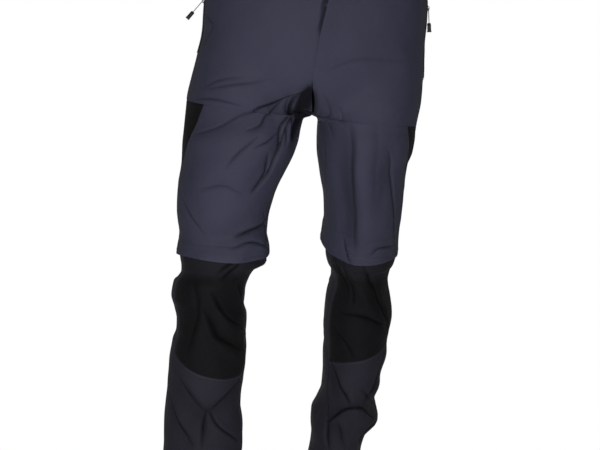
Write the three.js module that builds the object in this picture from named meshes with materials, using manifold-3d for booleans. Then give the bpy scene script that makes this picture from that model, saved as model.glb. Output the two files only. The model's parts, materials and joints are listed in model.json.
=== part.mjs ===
// Zip-off walking trousers in the hollow form of a standing figure, which is left out.
// Millimetres. +X is the wearer's left, the front faces -Y, +Z is up.
// The origin is the middle of the waistband ring, where the trousers are held up.
// "Right" and "left" are the wearer's.

import * as THREE from "three";
import Module from "manifold-3d";

const wasm = await Module();
wasm.setup();
const { Manifold, CrossSection } = wasm;

// Driving sizes
const clothThickness = 1.6;
const bandThickness = 2.2;
const seamGap = 0.3;
const bandTop = 20;
const bandBottom = -20;
const legStartZ = -120; // each half starts to close round its leg here
const crotchZ = -250;
const hemZ = -1055;
const torsoRoundness = 2.35; // exponent of the oval sections, 2 is an ellipse
const legRoundness = 2.12;
const riseRoundness = 2.6; // how squarely the centre seams turn in under the body
const inseamSettles = 120; // below the crotch, until the whole leg stands off the other

// Side inserts
const insertTopZ = -248;
const insertTipZ = -400;
const jump = 0.15; // half the step in height where a seam turns a sharp corner

// Leg zips and the flap bands over them
const zipTapeHalf = 5; // from the zip's teeth to the cut edge of the cloth
const flapAboveZip = 26;
const flapLift = 0.8; // at its stitching, above the thigh's cloth
const flapStandsOff = 6.2; // over the zip and down to its free edge

// Waistband lap, in turns from the front centre
const lapEnd = 0.05; // the left end reaches this far over the right
const underlapEnd = 0.04; // the right end reaches this far under the left
const underlapDepth = 2.8;

// Fly and hand pockets, counted in columns and rows of the front panels
const flyWidthShares = [1, 1, 1, 1, 1, 1, 0.85, 0.4];
const flyLift = 0.9; // clears the slight twist of the cells under it
const flyZipShare = 0.42;
const pocketColumns = [11.12, 11.88];
const pocketRows = 7;
const overlay = 0.3; // gap under a piece that is sewn on

// Zip sliders: length along the zip, width across it and height off the tape
const slider = {
  length: 9,
  width: 5.2,
  base: 1.2,
  bridgeLength: 7,
  bridgeWidth: 3,
  hole: 1.7,
  height: 3.8,
};
const ring = { length: 6.4, width: 8.4, bar: 1.2 }; // the pull's metal ring through the bridge
const pocketPull = { cordEnd: 24, cordWidth: 2.4, gripEnd: 39, gripWidth: 7, gripThickness: 5.4 };
const legPull = { cordEnd: 12, cordWidth: 3, gripEnd: 27, gripWidth: 6, gripThickness: 1.8 };
// Where each slider sits on its zip, and how far its pull stands out from the tape at rest.
const pulls = {
  pocketRight: { z: -84, restDegrees: 36 },
  pocketLeft: { z: -55, restDegrees: 4 },
  legRight: { column: 2, restDegrees: -4 },
  legLeft: { column: 21, restDegrees: -4 },
};
const buttonRadius = 8.5;

// Counts of cells
const cells = {
  frontAcross: 12,
  backAcross: 10,
  hips: 5,
  rise: 8,
  thigh: 8,
  aboveFlap: 2,
  underFlap: 2,
  flapBelow: 2,
  kneeAcross: 10,
  calfAcross: 13,
  knee: 9,
  shin: 13,
  insertAcross: 4,
};

// Sections of the waist and hips. centre: where the front and back seams lie across.
const torsoColumns = ["z", "centre", "front", "back"];
const torsoRows = [
  [20, 0, 112, 106],
  [-20, 0, 118, 112],
  [-70, -5, 122, 124],
  [-120, -11, 120, 132],
  [-170, -14, 117, 134],
  [-215, -12, 114, 130],
  [-250, -6, 110, 124],
];

// Sections of each leg. outer, inner: from the middle line to the two sides of the ring.
// middle: the ring's place front to back. front, back: from there to the cloth.
const legColumns = ["z", "outer", "inner", "middle", "front", "back"];
const thighRows = {
  right: [
    [20, 163, 0, 6, 100, 100],
    [-20, 174, 0, 6, 100, 100],
    [-50, 188, 0, 6, 100, 100],
    [-80, 195, 0, 6, 100, 102],
    [-110, 194, 0, 6, 102, 106],
    [-130, 193, 0, 6, 104, 110],
    [-170, 198, 0, 6, 106, 116],
    [-210, 204, 0, 6, 106, 118],
    [-250, 208, 0, 6, 104, 114],
    [-256, 208, 12, 6, 104, 113],
    [-270, 208, 15, 5, 103, 111],
    [-290, 208, 16, 4, 102, 108],
    [-310, 208, 20, 3, 101, 105],
    [-350, 206, 34, 1, 97, 99],
    [-390, 208, 47, -1, 91, 92],
    [-430, 206, 53, -3, 84, 86],
    [-450, 202, 53, -4, 80, 82],
    [-470, 197, 50, -5, 77, 79],
    [-490, 195, 51, -6, 76, 78],
    [-520, 194, 58, -8, 76, 79],
  ],
  left: [
    [20, 154, 0, 6, 100, 100],
    [-20, 161, 0, 6, 100, 100],
    [-50, 168, 0, 6, 100, 100],
    [-80, 170, 0, 6, 100, 102],
    [-110, 171, 0, 6, 102, 106],
    [-130, 173, 0, 6, 104, 110],
    [-170, 177, 0, 6, 106, 116],
    [-210, 179, 0, 6, 106, 118],
    [-250, 176, 0, 6, 104, 114],
    [-256, 176, 12, 7, 104, 113],
    [-270, 177, 13, 9, 106, 112],
    [-290, 176, 15, 13, 108, 112],
    [-310, 171, 18, 18, 108, 110],
    [-350, 172, 28, 27, 104, 106],
    [-390, 174, 40, 36, 98, 99],
    [-430, 175, 46, 45, 91, 92],
    [-450, 174, 50, 49, 86, 87],
    [-470, 173, 53, 53, 84, 85],
    [-490, 172, 57, 57, 83, 84],
    [-520, 170, 64, 62, 82, 84],
  ],
};
const shankRows = {
  right: [
    [-470, 188, 53, -5, 75, 77],
    [-488, 190, 55, -7, 74, 76],
    [-500, 194, 57, -8, 75, 77],
    [-510, 192, 61, -9, 76, 78],
    [-520, 189, 69, -10, 77, 78],
    [-530, 188, 74, -11, 78, 78],
    [-550, 199, 79, -13, 80, 79],
    [-570, 201, 79, -14, 80, 80],
    [-590, 194, 72, -14, 79, 80],
    [-610, 188, 70, -14, 77, 79],
    [-630, 187, 69, -13, 75, 78],
    [-650, 191, 66, -12, 73, 77],
    [-690, 193, 65, -8, 71, 76],
    [-730, 192, 66, -4, 71, 75],
    [-750, 192, 65, -1, 71, 75],
    [-790, 191, 56, 4, 71, 75],
    [-830, 189, 54, 9, 71, 74],
    [-900, 184, 62, 16, 70, 72],
    [-980, 182, 67, 24, 68, 70],
    [-1055, 180, 70, 30, 66, 68],
  ],
  left: [
    [-450, 172, 52, 49, 84, 86],
    [-464, 174, 54, 52, 83, 84],
    [-476, 176, 55, 54, 82, 83],
    [-488, 172, 57, 57, 80, 82],
    [-500, 169, 61, 59, 80, 82],
    [-512, 168, 69, 61, 81, 83],
    [-530, 171, 72, 63, 82, 84],
    [-550, 177, 69, 66, 83, 84],
    [-570, 182, 67, 68, 83, 84],
    [-590, 185, 67, 70, 82, 83],
    [-610, 184, 68, 72, 81, 82],
    [-630, 183, 71, 74, 80, 82],
    [-650, 185, 74, 76, 79, 81],
    [-690, 179, 77, 81, 77, 79],
    [-710, 181, 79, 84, 76, 79],
    [-735, 175, 80, 87, 76, 79],
    [-760, 183, 74, 91, 76, 79],
    [-778, 186, 68, 93, 76, 78],
    [-800, 170, 69, 96, 76, 78],
    [-830, 164, 74, 101, 75, 77],
    [-900, 162, 70, 110, 73, 75],
    [-980, 162, 68, 119, 71, 73],
    [-1055, 160, 66, 126, 69, 71],
  ],
};

// Where the front and back panels end at the side, in turns round the leg. Between
// insertTopZ and insertTipZ the black insert fills the space between the two edges.
const sideColumns = ["z", "frontEdge", "backEdge"];
const sideRows = [
  [bandTop, 0.5, 0.5],
  [insertTopZ + jump, 0.5, 0.5],
  [insertTopZ - jump, 0.378, 0.58],
  [-290, 0.41, 0.577],
  [-325, 0.44, 0.572],
  [-360, 0.485, 0.56],
  [insertTipZ + jump, 0.528, 0.55],
  [insertTipZ - jump, 0.539, 0.539],
  [-520, 0.52, 0.52],
];

// Leg zips: height of the teeth, and how much higher they run at the inner side. The same
// for the free edge of the flap, which also rises towards the outer side.
const legZips = {
  right: { z: -486, innerRise: 12, flapEdgeZ: -511, flapInnerRise: 22, flapOuterRise: 10 },
  left: { z: -450, innerRise: 0, flapEdgeZ: -474, flapInnerRise: 7, flapOuterRise: 10 },
};

// Knee panels: the two seams with the calf panel in turns, and the lower edge's heights.
const kneePanels = {
  right: { innerTurn: 0.058, outerTurn: 0.431, innerZ: -692, frontZ: -694, outerZ: -662 },
  left: { innerTurn: 0.083, outerTurn: 0.456, innerZ: -668, frontZ: -648, outerZ: -626 },
};

// The largest folds. Each runs through points of the front or back view and is pressed in
// by depth, or stands out where depth is negative. width: from its line to its shoulders.
const foldColumns = ["side", "part", "face", "width", "depth", "path"];
const foldRows = [
  ["right", "thigh", "front", 30, 7, [[-16, -222], [-60, -240], [-105, -262], [-195, -284]]],
  ["right", "thigh", "front", 26, 5, [[-58, -262], [-55, -310], [-95, -375]]],
  ["right", "thigh", "front", 28, 5, [[-82, -425], [-120, -455], [-150, -462]]],
  ["left", "thigh", "front", 32, 8, [[48, -290], [62, -380], [80, -466]]],
  ["left", "thigh", "front", 30, -5, [[88, -290], [100, -380], [112, -460]]],
  ["left", "thigh", "front", 30, 5, [[125, -270], [128, -340], [122, -400]]],
  ["right", "shank", "front", 28, -5, [[-95, -520], [-130, -540], [-165, -545]]],
  ["right", "shank", "front", 28, 5, [[-150, -570], [-125, -620], [-95, -670]]],
  ["right", "shank", "front", 30, 7, [[-75, -725], [-135, -775], [-160, -830]]],
  ["right", "shank", "front", 26, 5, [[-175, -730], [-135, -775], [-100, -835]]],
  ["left", "shank", "front", 28, 6, [[75, -780], [110, -800], [150, -790]]],
  ["left", "shank", "front", 28, -5, [[95, -710], [130, -740], [150, -760]]],
  ["right", "thigh", "back", 32, 6, [[-20, -255], [-90, -285], [-180, -290]]],
  ["left", "thigh", "back", 32, 6, [[20, -255], [90, -290], [165, -300]]],
  ["right", "shank", "back", 30, 6, [[-80, -560], [-130, -575], [-180, -560]]],
  ["left", "shank", "back", 30, 6, [[75, -570], [120, -590], [170, -575]]],
  ["right", "shank", "back", 30, -5, [[-85, -760], [-130, -790], [-175, -770]]],
  ["left", "shank", "back", 30, -5, [[75, -770], [115, -800], [160, -780]]],
];

// Colours
const colours = {
  slate: 0x3c3d4b,
  black: 0x19191c,
  tape: 0x202126,
  metal: 0xb9bbbe,
  rubber: 0x141416,
};

// The frame of the form

const signOf = { right: -1, left: 1 };
const { clamp, lerp } = THREE.MathUtils;
const range = (count) => [...Array(count + 1).keys()];
const ease = (x) => clamp(x, 0, 1) ** 2 * (3 - 2 * clamp(x, 0, 1));
const bulge = (x, roundness) => Math.sign(x) * Math.abs(x) ** (2 / roundness);

// One column of a table as a function of height, smooth and without overshoot.
function smoothColumn(columns, rows, name) {
  const knots = [...rows].sort((a, b) => a[0] - b[0]);
  const z = knots.map((row) => row[0]);
  const value = knots.map((row) => row[columns.indexOf(name)]);
  const slope = range(z.length - 2).map((i) => (value[i + 1] - value[i]) / (z[i + 1] - z[i]));
  const tangent = range(z.length - 1).map((i) => {
    if (i === 0) return slope[0];
    if (i === z.length - 1) return slope[i - 1];
    const [below, above] = [slope[i - 1], slope[i]];
    return below * above > 0 ? (2 * below * above) / (below + above) : 0;
  });
  return (height) => {
    const h = clamp(height, z[0], z[z.length - 1]);
    let i = 0;
    while (i < z.length - 2 && z[i + 1] < h) i += 1;
    const step = z[i + 1] - z[i];
    const u = (h - z[i]) / step;
    const start = (1 + 2 * u) * (1 - u) ** 2 * value[i] + u * (1 - u) ** 2 * step * tangent[i];
    const end = u * u * (3 - 2 * u) * value[i + 1] + u * u * (u - 1) * step * tangent[i + 1];
    return start + end;
  };
}

// One column of a table as straight lines between its rows.
function straightColumn(columns, rows, name) {
  const at = columns.indexOf(name);
  return (height) => {
    const below = rows.findIndex((row) => row[0] <= height);
    if (below < 0) return rows[rows.length - 1][at];
    if (below === 0) return rows[0][at];
    const [a, b] = [rows[below - 1], rows[below]];
    return lerp(a[at], b[at], (a[0] - height) / (a[0] - b[0]));
  };
}

const torso = {
  centre: smoothColumn(torsoColumns, torsoRows, "centre"),
  front: smoothColumn(torsoColumns, torsoRows, "front"),
  back: smoothColumn(torsoColumns, torsoRows, "back"),
};
const frontEdge = straightColumn(sideColumns, sideRows, "frontEdge");
const backEdge = straightColumn(sideColumns, sideRows, "backEdge");

function legForm(side, part, rows) {
  const form = { side, part, sign: signOf[side] };
  for (const name of legColumns.slice(1)) form[name] = smoothColumn(legColumns, rows, name);
  form.folds = [];
  return form;
}

const forms = {
  right: {
    thigh: legForm("right", "thigh", thighRows.right),
    shank: legForm("right", "shank", shankRows.right),
  },
  left: {
    thigh: legForm("left", "thigh", thighRows.left),
    shank: legForm("left", "shank", shankRows.left),
  },
};

// A point of the plain form. turn runs from 0 at the front centre seam or inseam, over 0.25
// in front and 0.5 at the side, to 1 at the back centre seam or inseam.
function plainPoint(form, turn, v) {
  const isThigh = form.part === "thigh";
  const t = isThigh ? clamp(turn, 0, 1) : turn;
  const ring = Math.PI * (1 - 2 * t);
  const [outer, inner, middle] = [form.outer(v), form.inner(v), form.middle(v)];
  const depth = Math.sin(ring) > 0 ? form.front(v) : form.back(v);
  const outerShare = (1 + bulge(Math.cos(ring), legRoundness)) / 2;
  const innerShare = 1 - outerShare;
  // Just below the crotch only the cloth beside the inseam stands off the other leg.
  const settled = isThigh ? lerp(innerShare ** 2, 1, ease((crotchZ - v) / inseamSettles)) : 1;
  let x = outer * outerShare + inner * innerShare * settled;
  let y = middle - depth * bulge(Math.sin(ring), legRoundness);
  if (isThigh) {
    const oval = Math.PI * (0.5 - t);
    const centre = form.sign * torso.centre(v);
    const torsoDepth = Math.sin(oval) > 0 ? torso.front(v) : torso.back(v);
    const torsoX = centre + (outer - centre) * bulge(Math.cos(oval), torsoRoundness);
    const torsoY = -torsoDepth * bulge(Math.sin(oval), torsoRoundness);
    const fall = clamp((legStartZ - v) / (legStartZ - crotchZ), 0, 1);
    // Round under the body at the centre seams, and gradual at the side.
    const nearSeam = Math.cos(Math.PI * t) ** 6;
    const turnedIn = 1 - (1 - fall ** riseRoundness) ** (1 / riseRoundness);
    const legShare = lerp(ease(fall), turnedIn, nearSeam);
    x = lerp(torsoX, x, legShare);
    y = lerp(torsoY, y, legShare);
  }
  // Below the crotch the rings lie square to the leg.
  const step = 4;
  const lean = (form.middle(v + step) - form.middle(v - step)) / (2 * step);
  const square = isThigh ? ease((crotchZ - v) / 90) : 1;
  return new THREE.Vector3(form.sign * x, y, v - square * (y - middle) * lean);
}

function plainNormal(form, turn, v) {
  const [dt, dv] = [0.004, 2];
  const round = plainPoint(form, turn + dt, v).sub(plainPoint(form, turn - dt, v));
  const along = plainPoint(form, turn, v + dv).sub(plainPoint(form, turn, v - dv));
  return round.cross(along).multiplyScalar(form.sign).normalize();
}

// The turn and height on one face of the form that show at x, z in the front view.
function placeInView(form, face, x, z) {
  let v = z;
  let turn = 0.25;
  for (let pass = 0; pass < 4; pass += 1) {
    let [near, far] = face === "front" ? [0, 0.5] : [1, 0.5];
    for (let halving = 0; halving < 20; halving += 1) {
      turn = (near + far) / 2;
      if (form.sign * plainPoint(form, turn, v).x < form.sign * x) near = turn;
      else far = turn;
    }
    v += z - plainPoint(form, turn, v).z;
  }
  return [turn, v];
}

// Each fold's line as points on the form, close enough together to measure from.
for (const row of foldRows) {
  const fold = Object.fromEntries(foldColumns.map((name, i) => [name, row[i]]));
  const form = forms[fold.side][fold.part];
  const places = fold.path.map(([x, z]) => placeInView(form, fold.face, x, z));
  const line = [];
  for (let i = 0; i < places.length - 1; i += 1) {
    for (const k of range(6)) {
      const turn = lerp(places[i][0], places[i + 1][0], k / 6);
      line.push(plainPoint(form, turn, lerp(places[i][1], places[i + 1][1], k / 6)));
    }
  }
  form.folds.push({ ...fold, line });
}

// How far the folds move a point of the form outward.
function foldHeight(form, point) {
  let height = 0;
  for (const { line, width, depth } of form.folds) {
    const nearest = line.reduce(
      (best, place, i) => {
        const distance = place.distanceTo(point);
        return distance < best.distance ? { distance, along: i / (line.length - 1) } : best;
      },
      { distance: Infinity, along: 0 },
    );
    const across = nearest.distance / width;
    const fade = 0.35 + 0.65 * Math.sin(Math.PI * nearest.along);
    height -= depth * fade * Math.exp(-across * across * 2.2);
  }
  return height;
}

// A point that lies a given height outside the folded cloth's outer side.
function clothPoint(form, turn, v, height = 0) {
  const point = plainPoint(form, turn, v);
  const out = foldHeight(form, point) + height;
  return point.addScaledVector(plainNormal(form, turn, v), out);
}

// A place in a cloth wall: its outer and inner points.
function place(form, turn, v, lift = -clothThickness, thickness = clothThickness) {
  return {
    outer: clothPoint(form, turn, v, lift + thickness),
    inner: clothPoint(form, turn, v, lift),
  };
}

// Heights that follow the zips and knee panels round a leg

const innerness = (turn) => (0.5 + 0.5 * Math.cos(2 * Math.PI * turn)) ** 2;
const outerness = (turn) => (0.5 - 0.5 * Math.cos(2 * Math.PI * turn)) ** 2;
const zipLine = (side, turn) => legZips[side].z + legZips[side].innerRise * innerness(turn);

function flapEdge(side, turn) {
  const { flapEdgeZ, flapInnerRise, flapOuterRise } = legZips[side];
  return flapEdgeZ + flapInnerRise * innerness(turn) + flapOuterRise * outerness(turn);
}

function kneeEdge(side, turn) {
  const { innerTurn, outerTurn, innerZ, frontZ, outerZ } = kneePanels[side];
  if (turn > outerTurn) {
    return lerp(outerZ, innerZ, ease((turn - outerTurn) / (1 + innerTurn - outerTurn)));
  }
  const u = (turn - innerTurn) / (outerTurn - innerTurn);
  return innerZ * (1 - u) * (1 - 2 * u) + 4 * frontZ * u * (1 - u) + outerZ * u * (2 * u - 1);
}

// The heights of the rows that the thigh's panels share, as functions of the turn.
function thighHeights(side) {
  const hips = range(cells.hips).map((i) => lerp(bandBottom, legStartZ, i / cells.hips));
  const rise = range(cells.rise)
    .slice(1)
    .map((i) => lerp(legStartZ, insertTopZ + jump, Math.sin((i / cells.rise) * (Math.PI / 2))));
  const thigh = range(cells.thigh).map((i) =>
    lerp(insertTopZ - jump, insertTipZ + jump, i / cells.thigh),
  );
  const fixed = [...hips, ...rise, ...thigh].map((z) => () => z);
  const start = insertTipZ - jump;
  const top = (turn) => zipLine(side, turn) + flapAboveZip;
  const end = (turn) => zipLine(side, turn) + zipTapeHalf;
  const above = range(cells.aboveFlap).map((i) => (turn) => lerp(start, top(turn), i / cells.aboveFlap));
  const under = range(cells.underFlap)
    .slice(1)
    .map((i) => (turn) => lerp(top(turn), end(turn), i / cells.underFlap));
  return [...fixed, ...above, ...under];
}

// The heights of the rows that the lower leg's panels share.
function shankHeights(side) {
  const top = (turn) => zipLine(side, turn) - zipTapeHalf;
  const knee = range(cells.knee).map(
    (i) => (turn) => lerp(top(turn), kneeEdge(side, turn), i / cells.knee),
  );
  const shin = range(cells.shin)
    .slice(1)
    .map((i) => (turn) => lerp(kneeEdge(side, turn), hemZ, i / cells.shin));
  return [...knee, ...shin];
}

// Building walls and meshes

function moveToward(place, neighbour, distance) {
  for (const skin of ["outer", "inner"]) {
    const step = neighbour[skin].clone().sub(place[skin]).setLength(distance);
    place[skin].add(step);
  }
}

// Leaves half a seam's gap at every cut edge of a panel.
function trimToSeams(rows, closed) {
  const half = seamGap / 2;
  rows[0].forEach((spot, j) => moveToward(spot, rows[1][j], half));
  rows.at(-1).forEach((spot, j) => moveToward(spot, rows.at(-2)[j], half));
  if (closed) return rows;
  for (const row of rows) {
    moveToward(row[0], row[1], half);
    moveToward(row.at(-1), row.at(-2), half);
  }
  return rows;
}

// A closed wall between the outer and inner points of a grid of places.
function wallGeometry(rows, closed = false) {
  const across = rows[0].length;
  const columns = closed ? across : across - 1;
  const positions = rows.flat().flatMap(({ outer, inner }) => [...outer, ...inner]);
  const corner = (i, j, skin) => 2 * (i * across + (j % across)) + skin;
  const faces = [];
  const quad = (a, b, c, d) => faces.push(a, b, c, a, c, d);
  for (let i = 0; i < rows.length - 1; i += 1) {
    for (let j = 0; j < columns; j += 1) {
      quad(corner(i, j, 0), corner(i + 1, j, 0), corner(i + 1, j + 1, 0), corner(i, j + 1, 0));
      quad(corner(i, j, 1), corner(i, j + 1, 1), corner(i + 1, j + 1, 1), corner(i + 1, j, 1));
    }
    if (!closed) {
      const last = across - 1;
      quad(corner(i, 0, 0), corner(i, 0, 1), corner(i + 1, 0, 1), corner(i + 1, 0, 0));
      quad(corner(i, last, 0), corner(i + 1, last, 0), corner(i + 1, last, 1), corner(i, last, 1));
    }
  }
  const bottom = rows.length - 1;
  for (let j = 0; j < columns; j += 1) {
    quad(corner(0, j, 0), corner(0, j + 1, 0), corner(0, j + 1, 1), corner(0, j, 1));
    quad(corner(bottom, j, 0), corner(bottom, j, 1), corner(bottom, j + 1, 1), corner(bottom, j + 1, 0));
  }
  const geometry = new THREE.BufferGeometry();
  geometry.setAttribute("position", new THREE.Float32BufferAttribute(positions, 3));
  geometry.setIndex(signedVolume(positions, faces) < 0 ? faces.reverse() : faces);
  geometry.computeVertexNormals();
  return geometry;
}

function signedVolume(positions, faces) {
  const at = (i) => new THREE.Vector3().fromArray(positions, 3 * i);
  let volume = 0;
  for (let i = 0; i < faces.length; i += 3) {
    volume += at(faces[i]).dot(at(faces[i + 1]).cross(at(faces[i + 2])));
  }
  return volume;
}

const group = new THREE.Group();
group.name = "zip_off_trousers";

function addPiece(name, colour, geometry) {
  const material = new THREE.MeshStandardMaterial({ color: colours[colour], roughness: 0.8 });
  material.name = `${name}_${colour}`;
  const mesh = new THREE.Mesh(geometry, material);
  mesh.name = name;
  group.add(mesh);
}

// Panels of the thigh and hips

// Columns keep to their own turns, and only those near the side move with its edge.
const frontTurn = (edge, share) => 0.5 * share + (edge - 0.5) * share ** 4;
const backTurn = (edge, share) => 0.5 + 0.5 * share + (edge - 0.5) * (1 - share) ** 4;

function thighPanel(form, heights, turnOf, across) {
  const rows = heights.map((height) =>
    range(across).map((j) => {
      const turnAt = (v) => turnOf(v, j / across);
      const turn = turnAt(height(turnAt(height(0.5))));
      return place(form, turn, height(turn));
    }),
  );
  return wallGeometry(trimToSeams(rows, false));
}

function addThigh(side) {
  const form = forms[side].thigh;
  const heights = thighHeights(side);
  const frontTurnAt = (v, share) => frontTurn(frontEdge(v), share);
  const backTurnAt = (v, share) => backTurn(backEdge(v), share);
  const front = thighPanel(form, heights, frontTurnAt, cells.frontAcross);
  const back = thighPanel(form, heights, backTurnAt, cells.backAcross);
  addPiece(`front_${side}`, "slate", front);
  addPiece(`back_${side}`, "slate", back);
  const first = 1 + cells.hips + cells.rise;
  const insertHeights = heights.slice(first, first + cells.thigh + 1);
  const insertTurnAt = (v, share) => lerp(frontEdge(v), backEdge(v), share);
  const insert = thighPanel(form, insertHeights, insertTurnAt, cells.insertAcross);
  addPiece(`side_insert_${side}`, "black", insert);
}

// Panels of the lower leg

function shankPanel(form, heights, from, to, across) {
  const rows = heights.map((height) =>
    range(across).map((j) => {
      const turn = lerp(from, to, j / across);
      return place(form, turn, height(turn));
    }),
  );
  return wallGeometry(trimToSeams(rows, false));
}

function addShank(side) {
  const form = forms[side].shank;
  const { innerTurn, outerTurn } = kneePanels[side];
  const heights = shankHeights(side);
  const kneeRows = heights.slice(0, cells.knee + 1);
  const shinRows = heights.slice(cells.knee);
  addPiece(
    `knee_panel_${side}`,
    "black",
    shankPanel(form, kneeRows, innerTurn, outerTurn, cells.kneeAcross),
  );
  addPiece(
    `shin_panel_${side}`,
    "slate",
    shankPanel(form, shinRows, innerTurn, outerTurn, cells.kneeAcross),
  );
  addPiece(
    `calf_panel_${side}`,
    "slate",
    shankPanel(form, heights, outerTurn, 1 + innerTurn, cells.calfAcross),
  );
}

// The turns of the columns that the flap and zip rings share with the thigh's panels.
function ringTurns() {
  const bottom = sideRows.at(-2)[1] - 0.01;
  const front = range(cells.frontAcross).map((j) => frontTurn(bottom, j / cells.frontAcross));
  const back = range(cells.backAcross).map((j) => backTurn(bottom, j / cells.backAcross));
  return [...front, ...back.slice(1, -1)];
}

function addLegZip(side) {
  const { thigh, shank } = forms[side];
  const turns = ringTurns();
  const tapeLift = -clothThickness;
  const edges = [
    (turn) => place(thigh, turn, zipLine(side, turn) + zipTapeHalf - 0.4, tapeLift, 1.2),
    (turn) => place(thigh, turn, zipLine(side, turn), tapeLift, 1.6),
    (turn) => place(shank, turn, zipLine(side, turn) - zipTapeHalf + 0.4, tapeLift, 1.2),
  ];
  addPiece(`leg_zip_${side}`, "tape", wallGeometry(edges.map((edge) => turns.map(edge)), true));

  const top = (turn) => zipLine(side, turn) + flapAboveZip;
  const under = (turn) => zipLine(side, turn) + zipTapeHalf;
  const bandRow = (from, to, share, lift) =>
    turns.map((turn) => place(thigh, turn, lerp(from(turn), to(turn), share), lift));
  const rows = range(cells.underFlap).map((i) => {
    const share = i / cells.underFlap;
    return bandRow(top, under, share, lerp(flapLift, flapStandsOff, share));
  });
  const edge = (turn) => flapEdge(side, turn);
  for (const i of range(cells.flapBelow).slice(1)) {
    rows.push(bandRow(under, edge, i / cells.flapBelow, flapStandsOff));
  }
  addPiece(`zip_flap_${side}`, "slate", wallGeometry(rows, true));
}

// Pieces sewn on the fronts

// A place on the flat cloth between two columns of a front panel.
function frontSpot(form, height, column, lift, thickness = clothThickness) {
  const near = Math.min(Math.floor(column), cells.frontAcross - 1);
  const at = (j) => {
    const turn = (frontEdge(height(0.5)) * j) / cells.frontAcross;
    return place(form, turn, height(turn), lift, thickness);
  };
  const [a, b] = [at(near), at(near + 1)];
  return {
    outer: a.outer.lerp(b.outer, column - near),
    inner: a.inner.lerp(b.inner, column - near),
  };
}

function addFly() {
  const heights = thighHeights("right").slice(0, flyWidthShares.length);
  const [right, left] = [forms.right.thigh, forms.left.thigh];
  const flap = heights.map((height, i) =>
    [0, 0.5, 1].map((share) => frontSpot(left, height, share * flyWidthShares[i], flyLift)),
  );
  addPiece("fly_flap", "slate", wallGeometry(trimToSeams(flap, false)));
  const lift = -clothThickness - flyLift - 1;
  const tape = heights.map((height) => {
    const ends = [right, left].map((form) => frontSpot(form, height, flyZipShare, lift, 1));
    const middles = [right, left].map((form) => frontSpot(form, height, 0, lift, 1));
    const middle = {
      outer: middles[0].outer.lerp(middles[1].outer, 0.5),
      inner: middles[0].inner.lerp(middles[1].inner, 0.5),
    };
    return [ends[0], middle, ends[1]];
  });
  addPiece("fly_zip", "tape", wallGeometry(trimToSeams(tape, false)));
}

function addWaistband() {
  const span = (side, from, to, count, startHeight = 0, endHeight = startHeight) =>
    range(count).map((i) => ({
      form: forms[side].thigh,
      turn: lerp(from, to, i / count),
      height: lerp(startHeight, endHeight, i / count),
    }));
  const strip = [
    ...span("right", lapEnd, 0, 2).slice(0, -1),
    ...span("left", 0, underlapEnd, 2).slice(0, -1),
    ...span("left", underlapEnd, 1, 20).slice(0, -1),
    ...span("right", 1, 3 * lapEnd, 20),
    ...span("right", 3 * lapEnd, lapEnd, 2, 0, -underlapDepth).slice(1),
    ...span("right", lapEnd, 0, 2, -underlapDepth).slice(1),
    ...span("left", 0, underlapEnd, 2, -underlapDepth).slice(1),
  ];
  const rows = [bandTop, 0, bandBottom].map((z) =>
    strip.map(({ form, turn, height }) =>
      place(form, turn, z, height - bandThickness, bandThickness),
    ),
  );
  addPiece("waistband", "slate", wallGeometry(trimToSeams(rows, false)));

  const profile = [[0, 0], [6.5, 0], [buttonRadius, 1.2], [buttonRadius, 2.4], [6.8, 3.2], [0, 2.8]];
  const disc = new THREE.LatheGeometry(profile.map(([x, y]) => new THREE.Vector2(x, y)), 24);
  const form = forms.right.thigh;
  const centre = clothPoint(form, lapEnd / 2, 0, overlay);
  disc.applyMatrix4(frameAt(centre, plainNormal(form, lapEnd / 2, 0), new THREE.Vector3(0, 0, -1)));
  addPiece("waist_button", "rubber", disc);
}

// Sliders and pulls

// A frame with Y along out, X along the part of down that lies square to it.
function frameAt(origin, out, down) {
  const x = down.clone().addScaledVector(out, -down.dot(out)).normalize();
  const z = x.clone().cross(out);
  return new THREE.Matrix4().makeBasis(x, out, z).setPosition(origin);
}

function solidGeometry(solid) {
  const mesh = solid.getMesh();
  const geometry = new THREE.BufferGeometry();
  const positions = [];
  for (let i = 0; i < mesh.numVert; i += 1) {
    positions.push(...mesh.vertProperties.slice(i * mesh.numProp, i * mesh.numProp + 3));
  }
  geometry.setAttribute("position", new THREE.Float32BufferAttribute(positions, 3));
  geometry.setIndex([...mesh.triVerts]);
  geometry.computeVertexNormals();
  return geometry;
}

function block(x0, x1, width, y0, y1) {
  return Manifold.cube([x1 - x0, y1 - y0, width]).translate([x0, y0, -width / 2]);
}

// A plate across the zip, drawn as half widths along it.
function plate(outline, thickness) {
  const lower = outline.map(([x, half]) => [x, -half]).reverse();
  return new CrossSection([[...outline, ...lower]], "NonZero")
    .extrude(thickness)
    .translate([0, 0, -thickness / 2])
    .rotate([90, 0, 0]);
}

// The body of a slider with its bridge. The tape is at y 0 and the zip runs along x.
function sliderBody() {
  const { length, width, base, bridgeLength, bridgeWidth, hole, height } = slider;
  const body = block(-length / 2, length / 2, width, 0, base);
  const bridge = block(-bridgeLength / 2, bridgeLength / 2, bridgeWidth, base / 2, height);
  const gap = block(-bridgeLength / 2 + 1.2, bridgeLength / 2 - 1.2, width + 1, base, base + hole);
  return body.add(bridge.subtract(gap));
}

const pivotHeight = slider.base + slider.hole / 2;

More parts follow.
